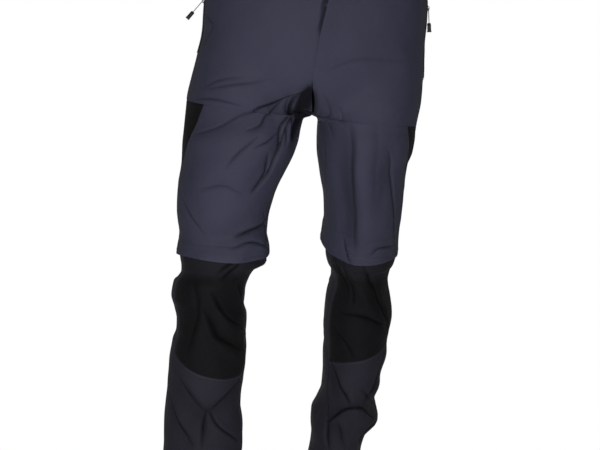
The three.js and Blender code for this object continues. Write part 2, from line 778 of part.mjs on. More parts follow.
// A pull from its pivot at the origin: a ring through the bridge, a neck and a grip.
function pullBody({ cordEnd, cordWidth, gripEnd, gripWidth, gripThickness }) {
  const barRadius = ring.bar / 2;
  const bar = Manifold.cylinder(ring.width, barRadius, barRadius, 8).translate([
    0,
    0,
    -ring.width / 2,
  ]);
  const inner = ring.width - 2 * ring.bar - 0.6;
  const outside = block(0, ring.length, ring.width, -0.5, 0.5);
  const inside = block(-1, ring.length - 1.2, inner, -1, 1);
  const neck = block(ring.length - 0.8, cordEnd + 1, cordWidth, -0.8, 0.8);
  const grip = plate(
    [
      [cordEnd, cordWidth / 2 + 0.5],
      [cordEnd + 4, gripWidth / 2],
      [gripEnd - 4, gripWidth / 2],
      [gripEnd - 1, gripWidth / 2 - 1.2],
      [gripEnd, Math.max(gripWidth / 2 - 3, 1)],
    ],
    gripThickness,
  );
  return bar.add(outside.subtract(inside)).add(neck).add(grip);
}

function addSlider(kind, side, frame, pullSize, restDegrees) {
  const body = solidGeometry(sliderBody());
  body.applyMatrix4(frame);
  addPiece(`${kind}_slider_${side}`, "metal", body);
  const turned = pullBody(pullSize).rotate([0, 0, restDegrees]).translate([0, pivotHeight, 0]);
  const pull = solidGeometry(turned);
  pull.applyMatrix4(frame);
  addPiece(`${kind}_pull_${side}`, "rubber", pull);
  const pivot = new THREE.Vector3(0, pivotHeight, 0).applyMatrix4(frame);
  const axis = new THREE.Vector3(0, 0, 1).transformDirection(frame);
  group.userData[`${kind}_pull_${side}`] = { pivot: pivot.toArray(), axis: axis.toArray() };
}

function addPocket(side) {
  const form = forms[side].thigh;
  const tape = thighHeights(side)
    .slice(0, pocketRows + 1)
    .map((height) => pocketColumns.map((column) => frontSpot(form, height, column, overlay, 1)));
  addPiece(`pocket_zip_${side}`, "tape", wallGeometry(trimToSeams(tape, false)));
  const { z, restDegrees } = pulls[side === "right" ? "pocketRight" : "pocketLeft"];
  const at = (v) => frontSpot(form, () => v, 11.5, 2 * overlay + 1, 0).outer;
  const down = at(z - 6).sub(at(z + 6));
  const turn = (11.5 / cells.frontAcross) * 0.5;
  const frame = frameAt(at(z), plainNormal(form, turn, z), down);
  addSlider("pocket", side, frame, pocketPull, restDegrees);
}

function addLegSlider(side) {
  const form = forms[side].thigh;
  const { column, restDegrees } = pulls[side === "right" ? "legRight" : "legLeft"];
  const turn = ringTurns()[column];
  const z = zipLine(side, turn);
  const centre = clothPoint(form, turn, z, 2 * overlay);
  const down = plainPoint(form, turn, z - 4).sub(plainPoint(form, turn, z + 4));
  addSlider("leg", side, frameAt(centre, plainNormal(form, turn, z), down), legPull, restDegrees);
}

for (const side of ["right", "left"]) {
  addThigh(side);
  addPocket(side);
  addLegZip(side);
  addLegSlider(side);
  addShank(side);
}
addFly();
addWaistband();

export default group;
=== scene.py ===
"""Zip-off walking trousers, hollow and in the shape that they have when worn, dressed on the
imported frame.

Metres. +X is the garment's own left, the front faces -Y, +Z is up, and the origin is the middle
of the waistband ring. Tables of the garment's form are in millimetres, as in the part's source.
"""
import json
from math import cos, pi, radians, sin

import bmesh
import bpy
import numpy as np
from mathutils import Matrix, Vector


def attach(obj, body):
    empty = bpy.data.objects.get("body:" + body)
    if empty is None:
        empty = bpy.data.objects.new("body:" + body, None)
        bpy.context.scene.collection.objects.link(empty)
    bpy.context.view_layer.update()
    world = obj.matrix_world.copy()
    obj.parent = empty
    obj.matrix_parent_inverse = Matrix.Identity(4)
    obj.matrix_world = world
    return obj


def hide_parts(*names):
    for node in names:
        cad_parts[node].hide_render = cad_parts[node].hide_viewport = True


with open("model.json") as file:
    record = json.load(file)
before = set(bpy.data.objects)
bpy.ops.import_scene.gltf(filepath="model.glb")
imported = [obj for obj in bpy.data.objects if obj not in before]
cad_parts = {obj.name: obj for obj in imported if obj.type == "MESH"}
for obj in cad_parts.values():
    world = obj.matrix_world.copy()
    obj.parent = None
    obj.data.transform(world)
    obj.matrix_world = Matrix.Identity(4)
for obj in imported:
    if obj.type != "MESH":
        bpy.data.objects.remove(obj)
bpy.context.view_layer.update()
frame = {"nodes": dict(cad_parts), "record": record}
GARMENT = "garment"
MM = 0.001

# The cloth, its seams and the cells of its grids, millimetres
CLOTH = 0.9
SEAM_GAP = 0.06
SEAM_DIP = 0.55
SEAM_DIP_REACH = 2.4
EDGE_CLOTH = 0.2
FRONT_CELL = 1.95
BACK_CELL = 3.2
BAND_CELL = 2.6
FLY_TAPE_CELL = 4.0
POCKET_TAPE_CELL = 2.4
RIPPLE = {"thigh": 0.8, "shank": 1.5}

# Heights of the form in millimetres, and how square its sections are, where 2 is an ellipse
BAND_TOP = 20.0
BAND_BOTTOM = -20.0
LEG_START_Z = -120.0
CROTCH_Z = -250.0
HEM_Z = -1055.0
TORSO_ROUNDNESS = 2.35
LEG_ROUNDNESS = 2.12
RISE_ROUNDNESS = 2.6

# Millimetres below the crotch over which the inseam settles and the sections tilt with the leg
INSEAM_SETTLES = 120.0
SECTIONS_TILT = 90.0

# The side insert and the parts of the thigh above and below it
RISE_CLOTH = 190.0
INSERT_TOP_Z = -248.0
INSERT_TIP_Z = -400.0
INSERT_STEP = 0.15
THIGH_END_Z = -480.0
THIGH_END_CLOTH = 75.0

# The leg zips, the flap bands over them and the hems
ZIP_TAPE_HALF = 5.0
FLAP_ABOVE_ZIP = 26.0
FLAP_STITCH = {"right": 18.0, "left": 32.0}
FLAP_STANDS_OFF = 5.6
FLAP_OVER_SLIDER = 2.6
FLAP_GROOVE = 0.7
FLAP_HEM = 9.0
HEM_DEPTH = 16.0

# The waistband, whose ends are given in turns round the leg
BAND_THICKNESS = 2.0
BAND_PUFF = 0.5
LAP_END = 0.05
UNDERLAP_END = 0.04
UNDERLAP_DEPTH = 2.8

# The fly: its widths in turns, its heights, and how far its free edge stands off
FLY_TURNS = 0.0417
FLY_STRAIGHT_Z = -112.0
FLY_END_Z = -169.0
FLY_SHUT_Z = -164.0
FLY_OPEN_Z = -80.0
FLY_HELD_Z = -52.0
FLY_RISE = 1.1
FLY_GAPE = 4.4
FLY_TAPE_TURNS = 0.019
FLY_TAPE_DEPTH = 2.4

# The hand-pocket zips, and where the sliders stop
POCKET_TURNS = (0.4635, 0.495)
POCKET_END_Z = -169.0
POCKET_TAPE_HEIGHT = 1.1
POCKET_SLIDER_Z = {"right": -84.0, "left": -55.0}
LEG_SLIDER_TURN = {"right": 0.087, "left": 0.953}

# Sliders and pulls, from the hinge along the pull. Strands are shares of the cord's width.
SLIDER = {"length": 9.0, "width": 5.2, "bridge": 6.4}
PIVOT_HEIGHT = 2.05
BRIDGE_WIRE = 0.62
RING = {"centre": 2.9, "half_length": 3.3, "half_width": 2.6, "wire": 0.55}
CORD_START = 5.6
STRAND_RADIUS = 0.27
STRAND_ASIDE = 0.25
RIB_PITCH = 2.6
RIB_HALF = 0.7
RIB_GROOVE = 0.86
PULLS = {
    "pocket": {
        "cord_end": 24, "cord": 2.4, "end": 39, "wide": 8, "thick": 7, "rest_right": 36, "rest_left": 4,
    },
    "leg": {
        "cord_end": 12, "cord": 2.6, "end": 27, "wide": 6, "thick": 1.8, "rest_right": -4, "rest_left": -4,
    },
}

# How many columns and rows of points each piece of cloth has
COLUMNS = {
    "front": 132, "back": 92, "insert": 34, "shin": 80, "calf": 86,
    "flap": 230, "leg_zip": 160, "fly": 22, "pocket_zip": 9,
}
ROWS = {"knee": 110, "shin": 196, "calf_beside_knee": 66, "calf_beside_shin": 118, "flap": 30}

# How far a row of stitches runs from its seam or edge, in turns round the leg
STITCH_TURNS = {
    "centre": 0.006, "insert": 0.007, "pocket": 0.004, "seat": 0.006, "side": 0.008,
    "knee": 0.004, "shin": 0.01, "fly": 0.004,
}
CENTRE_STITCH_Z = (-170, -200)
SEAT_STITCH_END_Z = -236
FLY_BAR_Z = (-157, -163)
STITCH_HEIGHT = 0.12

# The photograph's width in pixels, and the camera
PHOTO_WIDTH = 600
MM_PER_PIXEL = 1.68
CAMERA_AIM = (2.0, 0.0, -436.0)
CAMERA_AZIMUTH = -5.0
CAMERA_ELEVATION = 8.0
CAMERA_ROLL = 6.5
CAMERA_DISTANCE = 2400.0
SENSOR = 36.0

# Studio in metres: the floor, and the strength of the room's own light
FLOOR_BELOW_HEM = 0.02
FLOOR_HALF_SIZE = 60.0
ROOM_LIGHT = 0.06

# Lamps in front of and behind the garment: name, place, aim, size and watts
STUDIO_LIGHTS = (
    ("key", (-0.3, -1.6, -0.36), (-0.06, 0.0, -0.42), 0.35, 17.5),
    ("fill", (1.2, -2.1, 0.2), (0.0, 0.0, -0.3), 1.0, 5),
    ("behind", (0.2, 2.4, 0.1), (0.0, 0.0, -0.5), 1.2, 16),
    ("behind_left", (2.0, 1.8, 0.0), (0.0, 0.0, -0.5), 1.2, 3),
    ("behind_right", (-2.0, 1.8, 0.0), (0.0, 0.0, -0.5), 1.2, 3),
)

# Sections of the waist and hips
TORSO_COLUMNS = ("z", "centre", "front", "back")
TORSO = (
    (20, 0, 112, 106),
    (-20, 0, 118, 112),
    (-70, -5, 122, 124),
    (-120, -11, 120, 132),
    (-170, -14, 117, 134),
    (-215, -12, 114, 130),
    (-250, -6, 110, 124),
)

# Sections of each leg: outer and inner sides, middle front to back, and depths from there
LEG_COLUMNS = ("z", "outer", "inner", "middle", "front", "back")
THIGH = {
    "right": (
        (20, 163, 0, 6, 100, 100),
        (-20, 174, 0, 6, 100, 100),
        (-50, 188, 0, 6, 100, 100),
        (-80, 195, 0, 6, 100, 102),
        (-110, 194, 0, 6, 102, 106),
        (-130, 193, 0, 6, 104, 110),
        (-170, 198, 0, 6, 106, 116),
        (-210, 204, 0, 6, 106, 118),
        (-250, 208, 0, 6, 104, 114),
        (-256, 208, 12, 6, 104, 113),
        (-270, 208, 15, 5, 103, 111),
        (-290, 208, 16, 4, 102, 108),
        (-310, 208, 20, 3, 101, 105),
        (-350, 206, 34, 1, 97, 99),
        (-390, 208, 47, -1, 91, 92),
        (-430, 206, 53, -3, 84, 86),
        (-450, 202, 53, -4, 80, 82),
        (-470, 197, 50, -5, 77, 79),
        (-490, 195, 51, -6, 76, 78),
        (-520, 194, 58, -8, 76, 79),
    ),
    "left": (
        (20, 154, 0, 6, 100, 100),
        (-20, 161, 0, 6, 100, 100),
        (-50, 168, 0, 6, 100, 100),
        (-80, 170, 0, 6, 100, 102),
        (-110, 171, 0, 6, 102, 106),
        (-130, 173, 0, 6, 104, 110),
        (-170, 177, 0, 6, 106, 116),
        (-210, 179, 0, 6, 106, 118),
        (-250, 176, 0, 6, 104, 114),
        (-256, 176, 12, 7, 104, 113),
        (-270, 177, 13, 9, 106, 112),
        (-290, 176, 15, 13, 108, 112),
        (-310, 171, 18, 18, 108, 110),
        (-350, 172, 28, 27, 104, 106),
        (-390, 174, 40, 36, 98, 99),
        (-430, 175, 46, 45, 91, 92),
        (-450, 174, 50, 49, 86, 87),
        (-470, 173, 53, 53, 84, 85),
        (-490, 172, 57, 57, 83, 84),
        (-520, 170, 64, 62, 82, 84),
    ),
}
SHANK = {
    "right": (
        (-470, 188, 53, -5, 75, 77),
        (-488, 190, 55, -7, 74, 76),
        (-500, 194, 57, -8, 75, 77),
        (-510, 192, 61, -9, 76, 78),
        (-520, 189, 69, -10, 77, 78),
        (-530, 188, 74, -11, 78, 78),
        (-550, 199, 79, -13, 80, 79),
        (-570, 201, 79, -14, 80, 80),
        (-590, 194, 72, -14, 79, 80),
        (-610, 188, 70, -14, 77, 79),
        (-630, 187, 69, -13, 75, 78),
        (-650, 191, 66, -12, 73, 77),
        (-690, 193, 65, -8, 71, 76),
        (-730, 192, 66, -4, 71, 75),
        (-750, 192, 65, -1, 71, 75),
        (-790, 191, 56, 4, 71, 75),
        (-830, 189, 54, 9, 71, 74),
        (-900, 184, 62, 16, 70, 72),
        (-980, 182, 67, 24, 68, 70),
        (-1055, 180, 70, 30, 66, 68),
    ),
    "left": (
        (-450, 172, 52, 49, 84, 86),
        (-464, 174, 54, 52, 83, 84),
        (-476, 176, 55, 54, 82, 83),
        (-488, 172, 57, 57, 80, 82),
        (-500, 169, 61, 59, 80, 82),
        (-512, 168, 69, 61, 81, 83),
        (-530, 171, 72, 63, 82, 84),
        (-550, 177, 69, 66, 83, 84),
        (-570, 182, 67, 68, 83, 84),
        (-590, 185, 67, 70, 82, 83),
        (-610, 184, 68, 72, 81, 82),
        (-630, 183, 71, 74, 80, 82),
        (-650, 185, 74, 76, 79, 81),
        (-690, 179, 77, 81, 77, 79),
        (-710, 181, 79, 84, 76, 79),
        (-735, 175, 80, 87, 76, 79),
        (-760, 183, 74, 91, 76, 79),
        (-778, 186, 68, 93, 76, 78),
        (-800, 170, 69, 96, 76, 78),
        (-830, 164, 74, 101, 75, 77),
        (-900, 162, 70, 110, 73, 75),
        (-980, 162, 68, 119, 71, 73),
        (-1055, 160, 66, 126, 69, 71),
    ),
}

# Where the front and back panels end at the side, in turns round the leg
SIDE_COLUMNS = ("z", "front_edge", "back_edge")
SIDE = (
    (BAND_TOP, 0.5, 0.5),
    (INSERT_TOP_Z + INSERT_STEP, 0.5, 0.5),
    (INSERT_TOP_Z - INSERT_STEP, 0.378, 0.58),
    (-290, 0.41, 0.577),
    (-325, 0.44, 0.572),
    (-360, 0.485, 0.56),
    (INSERT_TIP_Z + INSERT_STEP, 0.528, 0.55),
    (INSERT_TIP_Z - INSERT_STEP, 0.539, 0.539),
    (-520, 0.52, 0.52),
)

# Leg zips and the flap bands over them
ZIPS = {
    "right": {"z": -486, "rise": 12, "edge_z": -511, "edge_inner_rise": 22, "edge_outer_rise": 10},
    "left": {"z": -450, "rise": 0, "edge_z": -474, "edge_inner_rise": 7, "edge_outer_rise": 10},
}

# Knee panels: seams with the calf panel in turns, and the lower edge's heights
KNEES = {
    "right": {"inner": 0.058, "outer": 0.431, "inner_z": -686, "front_z": -684, "outer_z": -660},
    "left": {"inner": 0.083, "outer": 0.456, "inner_z": -668, "front_z": -648, "outer_z": -626},
}

# The garment's largest folds, as in its solids, for each side, part and face. Each runs through
# points (x, z) of the front or back view, and is pressed in by depth, or stands out where depth
# is negative.
FOLD_COLUMNS = ("width", "depth", "path")
FOLDS = {
    ("right", "thigh", "front"): (
        (30, 7, ((-16, -222), (-60, -240), (-105, -262), (-195, -284))),
        (26, 5, ((-58, -262), (-55, -310), (-95, -375))),
        (28, 5, ((-82, -425), (-120, -455), (-150, -462))),
    ),
    ("left", "thigh", "front"): (
        (32, 8, ((48, -290), (62, -380), (80, -466))),
        (30, -5, ((88, -290), (100, -380), (112, -460))),
        (30, 5, ((125, -270), (128, -340), (122, -400))),
    ),
    ("right", "shank", "front"): (
        (28, -5, ((-95, -520), (-130, -540), (-165, -545))),
        (28, 5, ((-150, -570), (-125, -620), (-95, -670))),
        (30, 7, ((-75, -725), (-135, -775), (-160, -830))),
        (26, 5, ((-175, -730), (-135, -775), (-100, -835))),
    ),
    ("left", "shank", "front"): (
        (28, 6, ((75, -780), (110, -800), (150, -790))),
        (28, -5, ((95, -710), (130, -740), (150, -760))),
    ),
    ("right", "thigh", "back"): (
        (32, 6, ((-20, -255), (-90, -285), (-180, -290))),
    ),
    ("left", "thigh", "back"): (
        (32, 6, ((20, -255), (90, -290), (165, -300))),
    ),
    ("right", "shank", "back"): (
        (30, 6, ((-80, -560), (-130, -575), (-180, -560))),
        (30, -5, ((-85, -760), (-130, -790), (-175, -770))),
    ),
    ("left", "shank", "back"): (
        (30, 6, ((75, -570), (120, -590), (170, -575))),
        (30, -5, ((75, -770), (115, -800), (160, -780))),
    ),
}

# Creases in the cloth. depth: pressed in, or standing out where it is negative. line: half
# the width of the crease itself. slope: how far the cloth takes to come back up on one side,
# and bank says which, 1 for the left hand of one who follows the path over the cloth, -1 for
# the right. Close to the line on the other side stands a low lip.
# Each crease also paints shade into the cloth's colour, darkest in its pinch and broad over hollows
CREASE_COLUMNS = ("depth", "line", "slope", "bank", "path")
CREASES = {
    ("right", "thigh", "front"): (
        # From the crotch to the side insert, and the bundle gathered under it
        (5.0, 2.2, 10, 1, ((-10, -207), (-30, -216), (-52, -226), (-84, -239), (-116, -256))),
        (2.2, 2.4, 11, 1, ((-88, -241), (-124, -260), (-160, -283), (-198, -305))),
        (3.6, 2.0, 9, 1, ((-45, -221), (-71, -248), (-86, -270), (-110, -281))),
        (2.8, 2.2, 8, 1, ((-88, -287), (-115, -315), (-136, -345))),
        (3.0, 2.2, 7, 1, ((-56, -280), (-72, -295), (-92, -306))),
        (5.5, 3.0, 7, -1, ((-46, -222), (-49, -266), (-50, -308), (-62, -345), (-83, -376))),
        (5.0, 2.8, 6, 1, ((-38, -220), (-40, -266), (-48, -308), (-58, -336))),
        (5.0, 2.6, 6, -1, ((-30, -217), (-36, -257), (-40, -300))),
        (4.5, 2.4, 6, 1, ((-22, -214), (-28, -254), (-31, -290))),
        (5.0, 3.2, 9, -1, ((-68, -316), (-67, -344), (-74, -362), (-88, -380))),
        (7.0, 3.8, 13, 1, ((-52, -396), (-57, -429), (-84, -446), (-106, -456))),
        (1.8, 3.4, 12, 1, ((-172, -385), (-138, -373), (-104, -384))),
        (2.0, 3.0, 10, -1, ((-200, -400), (-184, -429), (-160, -455))),
        (1.4, 2.6, 9, 1, ((-184, -222), (-158, -205), (-122, -196))),
        (1.5, 2.6, 10, 1, ((-178, -223), (-134, -209), (-80, -195))),
        (1.8, 2.6, 9, 1, ((-194, -241), (-163, -237), (-120, -242))),
        (1.8, 3.0, 10, 1, ((-192, -104), (-180, -119), (-183, -134), (-190, -156))),
        (3.2, 2.6, 8, 1, ((-112, -474), (-79, -463), (-54, -474))),
        (2.4, 2.8, 8, -1, ((-64, -412), (-56, -444), (-60, -470))),
        # The gap beside the fly flap's edge, dark with painted shade: no slope, and narrower towards its
        # lower end
        (3.0, 17, 0, 1, ((-1, 12), (-6, -52), (-11, -102), (-15, -152))),
        # The hollow at the crotch, behind the end of the centre seam, dark with painted shade
        (9, 12, 12, -1, ((-8, -200), (-18, -216), (-22, -236), (-25, -262), (-30, -296))),
    ),
    ("left", "thigh", "front"): (
        # The left side of the same hollow, then long soft falls from the hip to the zip
        (14, 6, 9, 1, ((-13, -206), (-11, -222), (-8, -240), (-5, -256))),
        (3.4, 7.0, 34, -1, ((57, -256), (64, -297), (74, -359), (87, -428), (95, -464))),
        (-2.4, 6.0, 14, 1, ((68, -258), (76, -342), (88, -403), (102, -462))),
        (1.6, 9.0, 14, 1, ((98, -240), (105, -314), (114, -380))),
        (3.2, 2.6, 10, -1, ((126, -290), (135, -324), (147, -371), (158, -420), (165, -462))),
        (1.8, 2.2, 8, 1, ((6, -210), (19, -249), (36, -286))),
        (1.2, 2.2, 7, 1, ((30, -222), (43, -246), (50, -262))),
        (1.8, 1.8, 4, 1, ((6, -232), (18, -271), (27, -320), (43, -395))),
        (3.2, 2.2, 7, 1, ((121, -468), (136, -456), (164, -452))),
        (2.8, 2.6, 7, -1, ((72, -448), (82, -470), (92, -486))),
        (1.4, 5.0, 14, 1, ((6, -172), (57, -149), (130, -143))),
    ),
    ("right", "shank", "front"): (
        # The knee and the upper shin
        (-9.0, 9.0, 12, 1, ((-50, -488), (-54, -496), (-66, -501), (-80, -504))),
        (5.0, 3.4, 9, 1, ((-93, -496), (-107, -510), (-124, -524))),
        (4.5, 3.4, 8, 1, ((-96, -487), (-112, -500), (-130, -514))),
        (4.0, 6.0, 26, -1, ((-163, -530), (-158, -571), (-160, -615), (-166, -660))),
        (7.0, 3.6, 22, 1, ((-136, -548), (-116, -575), (-98, -593), (-70, -622))),
        (6.0, 4.0, 16, 1, ((-148, -578), (-124, -614), (-101, -631), (-72, -650))),
        (-3.0, 8.0, 10, 1, ((-150, -596), (-128, -624), (-103, -644), (-80, -658))),
        (4.5, 4.0, 12, 1, ((-102, -520), (-87, -549), (-74, -585))),
        (3.6, 6.0, 18, -1, ((-178, -696), (-150, -731), (-122, -754))),
        (4.0, 5.0, 18, 1, ((-68, -694), (-93, -727), (-119, -755))),
        (5.0, 3.6, 12, -1, ((-119, -752), (-98, -780), (-64, -808))),
        (4.4, 3.6, 12, 1, ((-121, -752), (-126, -785), (-124, -820))),
        (3.6, 4.6, 16, -1, ((-184, -738), (-168, -784), (-140, -818))),
        (-3.0, 6.0, 10, 1, ((-112, -762), (-90, -786), (-66, -812))),
        # Down to the hem
        (4.0, 4.5, 15, 1, ((-70, -870), (-110, -888), (-160, -872))),
        (3.0, 5.0, 16, -1, ((-86, -930), (-130, -956), (-172, -946))),
        (3.4, 4.0, 13, 1, ((-76, -1000), (-118, -1018), (-160, -1002))),
    ),
    ("left", "shank", "front"): (
        # The knee and the upper shin
        (4.0, 4.6, 20, -1, ((68, -484), (81, -515), (94, -545))),
        (3.6, 4.0, 14, -1, ((80, -492), (101, -536), (104, -558))),
        (5.5, 4.4, 20, -1, ((114, -490), (137, -526), (155, -558), (174, -600))),
        (5.0, 3.2, 16, -1, ((88, -580), (118, -580), (141, -584), (176, -600))),
        (3.4, 4.4, 16, -1, ((82, -606), (101, -631), (118, -656))),
        (-3.0, 9.0, 12, 1, ((104, -528), (126, -550), (150, -578))),
        (5.0, 4.4, 20, -1, ((84, -668), (105, -713), (126, -744))),
        (4.4, 4.4, 16, 1, ((174, -640), (168, -694), (160, -718), (146, -742))),
        (4.6, 2.6, 8, -1, ((83, -680), (87, -726), (89, -770))),
        (6.0, 2.8, 16, 1, ((88, -786), (96, -772), (112, -754), (139, -744), (158, -755), (178, -778))),
        (5.0, 3.6, 12, 1, ((90, -772), (89, -798), (98, -826))),
        (3.0, 4.6, 16, -1, ((106, -776), (115, -799), (129, -822))),
        (4.0, 4.0, 14, -1, ((142, -712), (159, -729), (182, -752))),
        (4.4, 4.4, 18, 1, ((184, -776), (165, -790), (154, -820))),
        # Down to the hem
        (4.0, 4.5, 15, 1, ((78, -880), (110, -896), (152, -884))),
        (3.0, 5.0, 16, -1, ((82, -944), (118, -964), (156, -950))),
        (3.4, 4.0, 13, 1, ((76, -1004), (112, -1020), (148, -1006))),
    ),
    ("right", "thigh", "back"): (
        (4.0, 3.6, 14, -1, ((-14, -240), (-60, -268), (-118, -276), (-178, -262))),
        (3.0, 3.0, 12, -1, ((-30, -280), (-66, -312), (-110, -330))),
        (2.4, 4.0, 14, 1, ((-192, -330), (-150, -362), (-104, -372))),
        (2.2, 4.0, 14, -1, ((-30, -110), (-80, -150), (-140, -170))),
        (2.8, 3.0, 12, 1, ((-60, -404), (-96, -440), (-128, -452))),
    ),
    ("left", "thigh", "back"): (
        (3.6, 3.6, 14, 1, ((14, -248), (60, -282), (104, -296), (150, -292))),
        (2.4, 3.0, 12, 1, ((166, -300), (128, -326), (90, -332))),
        (2.8, 3.4, 14, -1, ((44, -340), (76, -376), (96, -414))),
        (1.8, 4.0, 14, 1, ((20, -130), (56, -152), (96, -156))),
        (2.6, 3.0, 12, -1, ((164, -396), (134, -424), (96, -430))),
    ),
    ("right", "shank", "back"): (
        (4.4, 3.2, 12, 1, ((-70, -522), (-110, -540), (-160, -548))),
        (3.4, 3.0, 10, -1, ((-192, -540), (-160, -562), (-120, -572))),
        (3.0, 3.0, 12, 1, ((-84, -590), (-120, -600), (-140, -622))),
        (2.6, 4.0, 14, -1, ((-188, -600), (-150, -640), (-100, -660))),
        (2.2, 4.6, 16, 1, ((-90, -700), (-130, -760), (-180, -800))),
        (2.6, 4.0, 14, -1, ((-186, -830), (-140, -860), (-96, -850))),
        (2.0, 4.0, 12, 1, ((-84, -900), (-110, -940), (-150, -960))),
        (2.2, 3.4, 12, -1, ((-184, -985), (-150, -1010), (-110, -1015))),
    ),
    ("left", "shank", "back"): (
        # A shallow hollow behind the leg zip's pull, dark with painted shade
        (2.4, 14, 14, 1, ((42, -446), (52, -460), (60, -480))),
        (4.2, 3.2, 12, -1, ((178, -505), (140, -528), (96, -536))),
        (3.2, 3.0, 10, 1, ((66, -540), (96, -560), (132, -566))),
        (3.4, 3.0, 12, -1, ((176, -572), (150, -600), (112, -618))),
        (2.4, 4.0, 14, 1, ((72, -640), (104, -672), (130, -720))),
        (3.0, 4.0, 14, -1, ((186, -716), (150, -744), (104, -748))),
        (2.2, 4.4, 16, 1, ((82, -800), (116, -850), (160, -880))),
        (2.4, 4.0, 12, -1, ((160, -930), (126, -950), (90, -944))),
        (2.0, 3.4, 12, 1, ((76, -990), (100, -1014), (140, -1018))),
    ),
}

# A fold's or crease's cross-section. The widths in the tables are narrowed by CREASE_WIDTH.
CREASE_WIDTH = 0.75
FOLD_REACH = 2.2
# Painted shade added to the colour where folds press the cloth in, full at FOLD_DIM_DEPTH millimetres
FOLD_DIM = 0.2
FOLD_DIM_DEPTH = 11.0
FOLD_ENDS = 0.35
SHARP_SHARE = 0.6
SOFT_SHARE = 0.4
LIP_HEIGHT = 0.1
LIP_PLACE = 2.4
LIP_WIDTH = 1.5
GAP_DEPTH = 0.3

# Painted shade in the cloth's colour at creases, gaps and hollows, where 1 is the darkest painted shade
GAP_DIM = 0.75
PINCH_DIM = 0.8
HOLLOW_DIM = 1.5
BROAD_SLOPE_DIM = 0.3
SLOPE_DIM = 0.1
HOLLOW_LINE = 8
BROAD_SLOPE = 11
CRISP_LINE = 2.4
FULL_DIM_DEPTH = 4.0
DIM_LIMIT = 1.3


# The garment's form

SIGN = {"right": -1.0, "left": 1.0}


def ease(x):
    x = np.clip(x, 0.0, 1.0)
    return x * x * (3 - 2 * x)


def bulge(x, roundness):
    return np.sign(x) * np.abs(x) ** (2 / roundness)


def mix(a, b, share):
    return a + (b - a) * share


def smooth_column(columns, rows, name):
    """One column of a table as a function of height, smooth and without overshoot."""
    knots = sorted(rows)
    z = np.array([row[0] for row in knots], float)
    value = np.array([row[columns.index(name)] for row in knots], float)
    slope = np.diff(value) / np.diff(z)
    tangent = np.zeros_like(value)
    tangent[0], tangent[-1] = slope[0], slope[-1]
    same = slope[:-1] * slope[1:] > 0
    with np.errstate(divide="ignore", invalid="ignore"):
        tangent[1:-1] = np.where(same, 2 * slope[:-1] * slope[1:] / (slope[:-1] + slope[1:]), 0)

    def at(height):
        h = np.clip(height, z[0], z[-1])
        i = np.clip(np.searchsorted(z, h) - 1, 0, len(z) - 2)
        step = z[i + 1] - z[i]
        u = (h - z[i]) / step
        start = (1 + 2 * u) * (1 - u) ** 2 * value[i] + u * (1 - u) ** 2 * step * tangent[i]
        end = u * u * (3 - 2 * u) * value[i + 1] + u * u * (u - 1) * step * tangent[i + 1]
        return start + end

    return at


def straight_column(columns, rows, name):
    """One column of a table as straight lines between its rows."""
    knots = sorted(rows)
    z = [row[0] for row in knots]
    value = [row[columns.index(name)] for row in knots]
    return lambda height: np.interp(height, z, value)


torso = {name: smooth_column(TORSO_COLUMNS, TORSO, name) for name in TORSO_COLUMNS[1:]}
front_edge = straight_column(SIDE_COLUMNS, SIDE, "front_edge")
back_edge = straight_column(SIDE_COLUMNS, SIDE, "back_edge")


